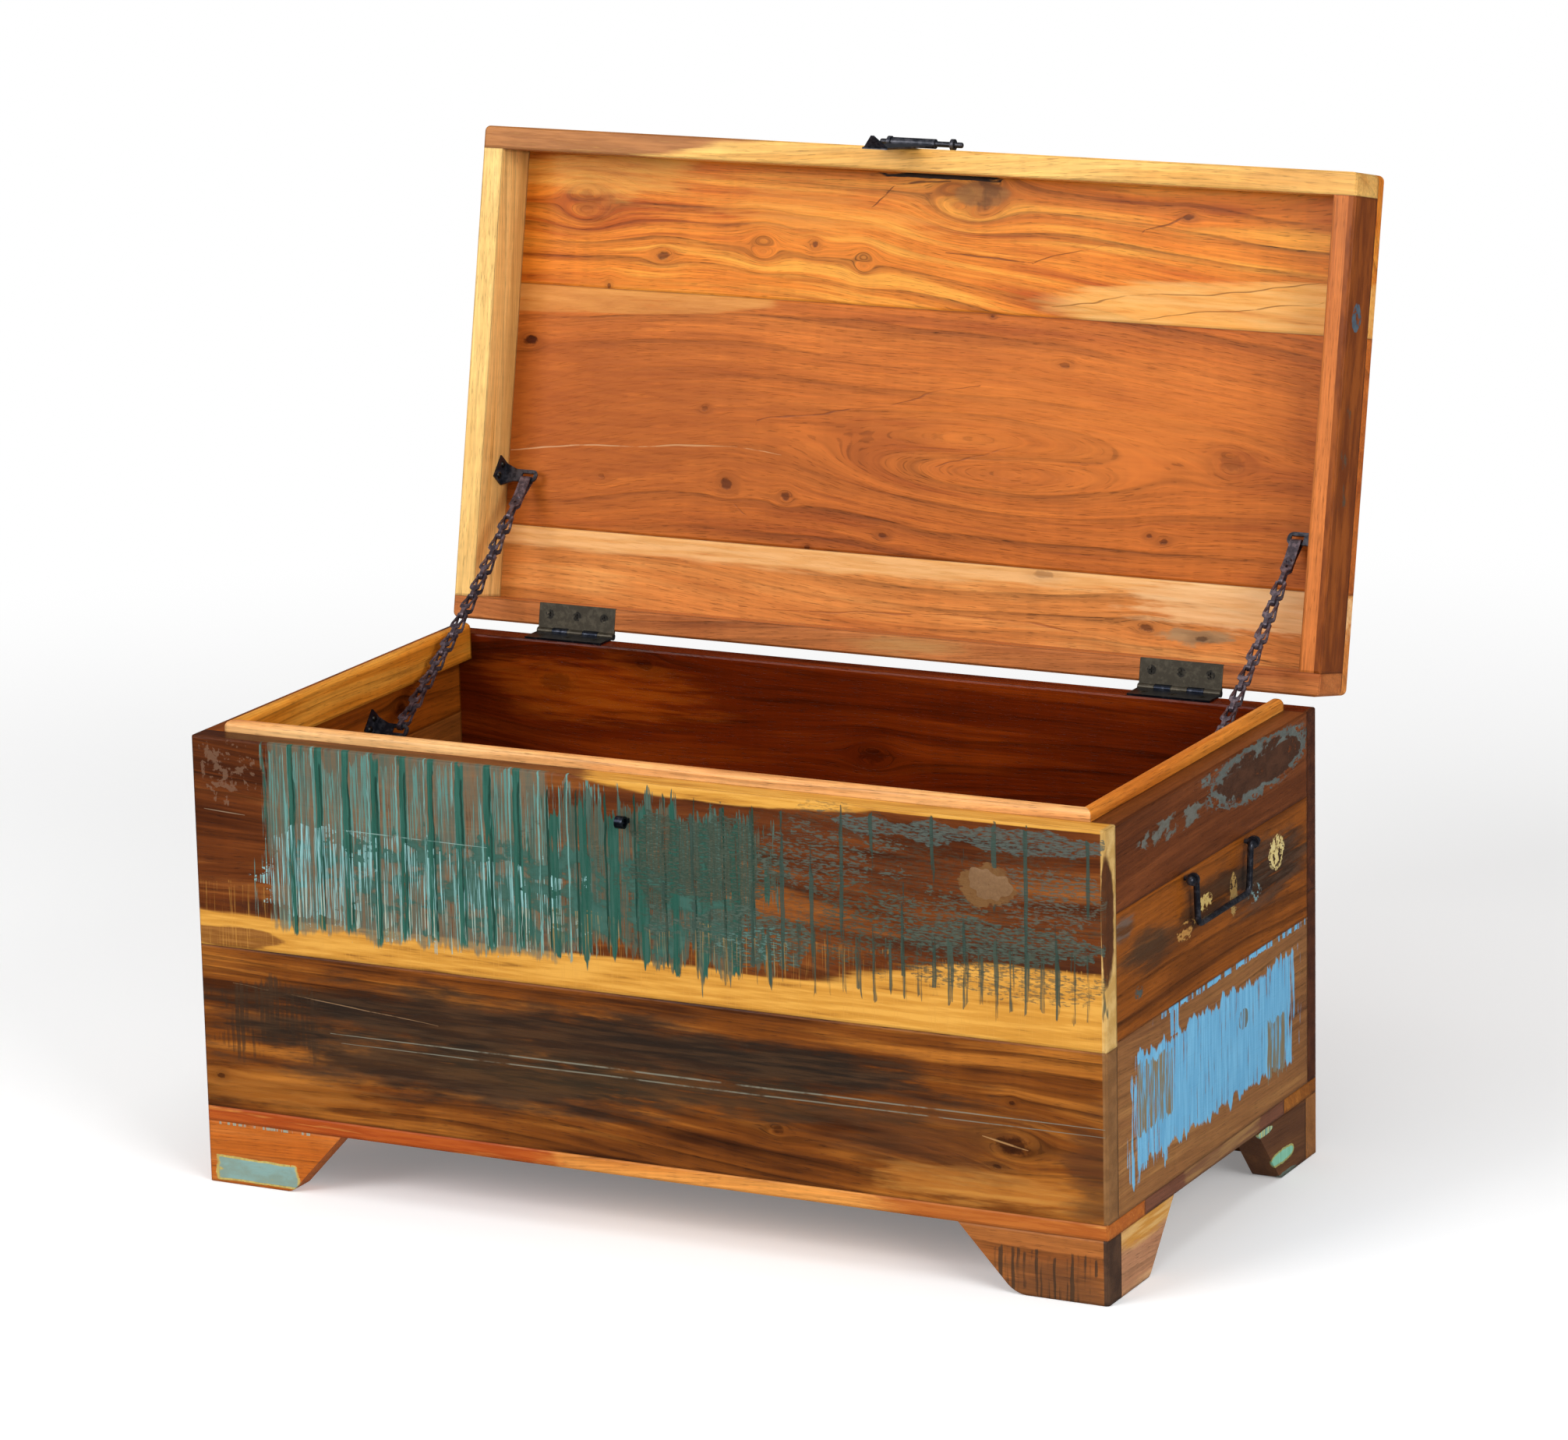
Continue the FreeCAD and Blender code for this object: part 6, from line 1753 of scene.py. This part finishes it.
@dataclass(frozen=True)
class FillerPatch:
    """Lump of wood filler smeared over a hole in the front board; a lobe is count, depth and start angle."""

    centre: Pair = (0.3045, 0.3225)
    radii: Pair = (0.0165, 0.0130)
    thickness: float = 0.0006
    sunk: float = 0.00005
    hub: float = 0.02
    lobes: Tuple[Triple, ...] = ((2, 0.16, 0.8), (3, 0.11, -0.5), (7, 0.07, 1.9), (11, 0.05, 0.0))
    ridges: Pair = (3, 0.25)
    rings: int = 14
    spokes: int = 72
    colour: Colour = (0.180, 0.086, 0.029)
    pale: Colour = (0.215, 0.108, 0.038)
    roughness: float = 0.55
    grit: float = 420.0
    grit_depth: float = 0.0004

    def mesh(self) -> bpy.types.Object:
        """Round sheet whose radius follows the lobes and whose height falls off to its rim.

        Returns:
            The piece.
        """
        share = np.linspace(self.hub, 1.0, self.rings)[:, None]
        turn = np.linspace(0.0, 2.0 * np.pi, self.spokes, endpoint=False)[None, :]
        rim = sum((depth * np.cos(count * turn + start) for count, depth, start in self.lobes), 1.0)
        x = self.centre[0] + self.radii[0] * share * rim * np.cos(turn)
        z = self.centre[1] + self.radii[1] * share * rim * np.sin(turn)
        count, depth = self.ridges
        rise = self.thickness * (1.0 - share ** 4) * (1.0 + depth * np.cos(count * turn) * share)
        y = FRONT_FACE - rise + self.sunk * share
        # Turned the other way round, so that the faces look out of the board
        return disc("filler_patch", np.stack(np.broadcast_arrays(x, y, z), -1)[:, ::-1])

    def finish(self) -> Surface:
        """Two browns by noise, with the same noise as grit.

        Returns:
            The material.
        """
        finish = Surface("wood_filler")
        g = finish.graph
        grit = g.noise(g.scaled(finish.place(), self.grit), 4.0, 0.7)
        finish.link("Base Color", g.mix(g.smooth(grit, 0.35, 0.65), self.colour, self.pale))
        finish.settle(Roughness=self.roughness)
        finish.relief(g.times(grit, self.grit_depth))
        return finish

    def build(self) -> bpy.types.Object:
        """Builds and dresses it; it rides with the box.

        Returns:
            The piece.
        """
        piece = self.mesh()
        self.finish().cover(piece)
        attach(piece, "box")
        return piece


@dataclass(frozen=True)
class Lamp:
    """Square area lamp: where it stands, the point that it faces, its side and its watts."""

    name: str
    place: Triple
    aim: Triple
    size: float
    power: float

    def build(self) -> None:
        """Adds it to the scene."""
        data = bpy.data.lights.new(self.name, "AREA")
        data.size = self.size
        data.energy = self.power
        lamp = bpy.data.objects.new(self.name, data)
        lamp.location = self.place
        lamp.rotation_mode = "QUATERNION"
        lamp.rotation_quaternion = (Vector(self.aim) - Vector(self.place)).to_track_quat("-Z", "Y")
        bpy.context.scene.collection.objects.link(lamp)


@dataclass(frozen=True)
class Floor:
    """Disc of floor: a pale surface that keeps shadows near the chest and turns plain white further off."""

    colour: Colour = (0.90, 0.90, 0.90)
    roughness: float = 0.9
    veil: float = 0.20
    mirrored: float = 0.10
    near: float = 0.95
    far: float = 2.4
    radii: Tuple[float, ...] = (0.001, 0.6, 1.2, 2.4, 6.0, 20.0, 60.0)
    spokes: int = 64
    level: float = -0.0004

    def finish(self) -> Surface:
        """Own colour for its light, a veil of glow where it is seen, white far off, and dim in reflections.

        Returns:
            The material.
        """
        finish = Surface("floor")
        g, body = finish.graph, finish.shader.outputs[0]
        finish.link("Base Color", self.colour)
        finish.settle(Roughness=self.roughness, Specular_IOR_Level=0.0)
        glow, dim, veil = [g.emission(strength) for strength in (1.0, self.mirrored, self.veil)]
        both = g.fill(g.add("ShaderNodeAddShader"), (body, veil)).outputs[0]
        path = g.add("ShaderNodeLightPath").outputs
        seen = g.math("MAXIMUM", path["Is Camera Ray"], path["Is Transmission Ray"])
        across = g.vector("MULTIPLY", finish.place(), (1.0, 1.0, 0.0))
        far = g.smooth(g.vector("LENGTH", across), self.near, self.far)
        shown = g.either(seen, body, g.either(far, both, glow))
        g.feed(finish.nodes["Material Output"].inputs["Surface"], g.either(path["Is Glossy Ray"], shown, dim))
        return finish

    def build(self) -> None:
        """Builds and dresses it; it belongs to the stage."""
        ring = np.array(self.radii)[:, None]
        turn = np.linspace(0.0, 2.0 * np.pi, self.spokes, endpoint=False)[None, :]
        across = np.broadcast_arrays(ring * np.cos(turn), ring * np.sin(turn), self.level)
        floor = disc("floor", np.stack(across, -1))
        self.finish().cover(floor)


@dataclass(frozen=True)
class Studio:
    """Camera, lamps, world and floor."""

    eye: Triple = (2.2510534, -4.4357912, 1.5786495)
    right: Triple = (0.89327613, 0.44900173, -0.02133531)
    up: Triple = (-0.08844177, 0.22209190, 0.97100630)
    ahead: Triple = (-0.44072191, 0.86548982, -0.23809990)
    focal_length: float = 144.786
    sensor: float = 36.0
    reach: float = 200.0
    key: Lamp = Lamp("key", (-2.2, -4.2, 3.0), (0.0, 0.0, 0.35), 2.6, 150.0)
    fill: Lamp = Lamp("fill", (3.9, -2.4, 2.2), (0.1, 0.0, 0.3), 2.4, 130.0)
    above: Lamp = Lamp("above", (0.0, -0.6, 4.2), (0.0, 0.0, 0.0), 3.0, 50.0)
    sky: float = 0.32
    sky_mirrored: float = -0.24
    sky_seen: float = 0.68
    floor: Floor = Floor()

    def camera(self) -> None:
        """Camera at the photograph's place, turned so that its axes are right, up and backwards."""
        data = bpy.data.cameras.new("camera")
        data.sensor_width = self.sensor
        data.lens = self.focal_length
        data.clip_end = self.reach
        camera = bpy.data.objects.new("camera", data)
        rows = [(self.right[i], self.up[i], -self.ahead[i], self.eye[i]) for i in range(3)]
        camera.matrix_world = Matrix([*rows, (0.0, 0.0, 0.0, 1.0)])
        bpy.context.scene.collection.objects.link(camera)
        bpy.context.scene.camera = camera

    def world(self) -> None:
        """Even white world: weak for the object, dark in its reflections, and white where it is seen."""
        world = bpy.data.worlds.new("studio")
        world.use_nodes = True
        g = Graph(world.node_tree)
        background = world.node_tree.nodes["Background"]
        g.feed(background.inputs["Color"], (1.0, 1.0, 1.0))
        path = g.add("ShaderNodeLightPath").outputs
        mirrored = g.times(path["Is Glossy Ray"], self.sky_mirrored)
        seen = g.times(path["Is Camera Ray"], self.sky_seen)
        g.feed(background.inputs["Strength"], g.plus(g.plus(self.sky, mirrored), seen))
        bpy.context.scene.world = world

    def build(self) -> None:
        """Sets up the whole studio."""
        bpy.context.scene.view_settings.view_transform = "Standard"
        self.camera()
        for lamp in (self.key, self.fill, self.above):
            lamp.build()
        self.world()
        self.floor.build()


def main() -> None:
    """Loads the frame, dresses every node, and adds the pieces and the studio."""
    logging.basicConfig(level=logging.INFO, format="%(name)s: %(message)s")
    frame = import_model()
    nodes: Dict[str, bpy.types.Object] = frame["nodes"]
    finisher = WoodFinisher(nodes)
    dressed: List[str] = []
    for boards in (FrontWall(), RightWall(), OtherBoards(), LidBoards()):
        dressed += boards.dress(finisher)
    dressed += Ironwork(nodes).dress()
    LOG.info("built %s", FillerPatch().build().name)
    for node in sorted(set(nodes) - set(dressed)):
        LOG.warning("%s has no finish", node)
    Studio().build()


if __name__ == "__main__":
    main()
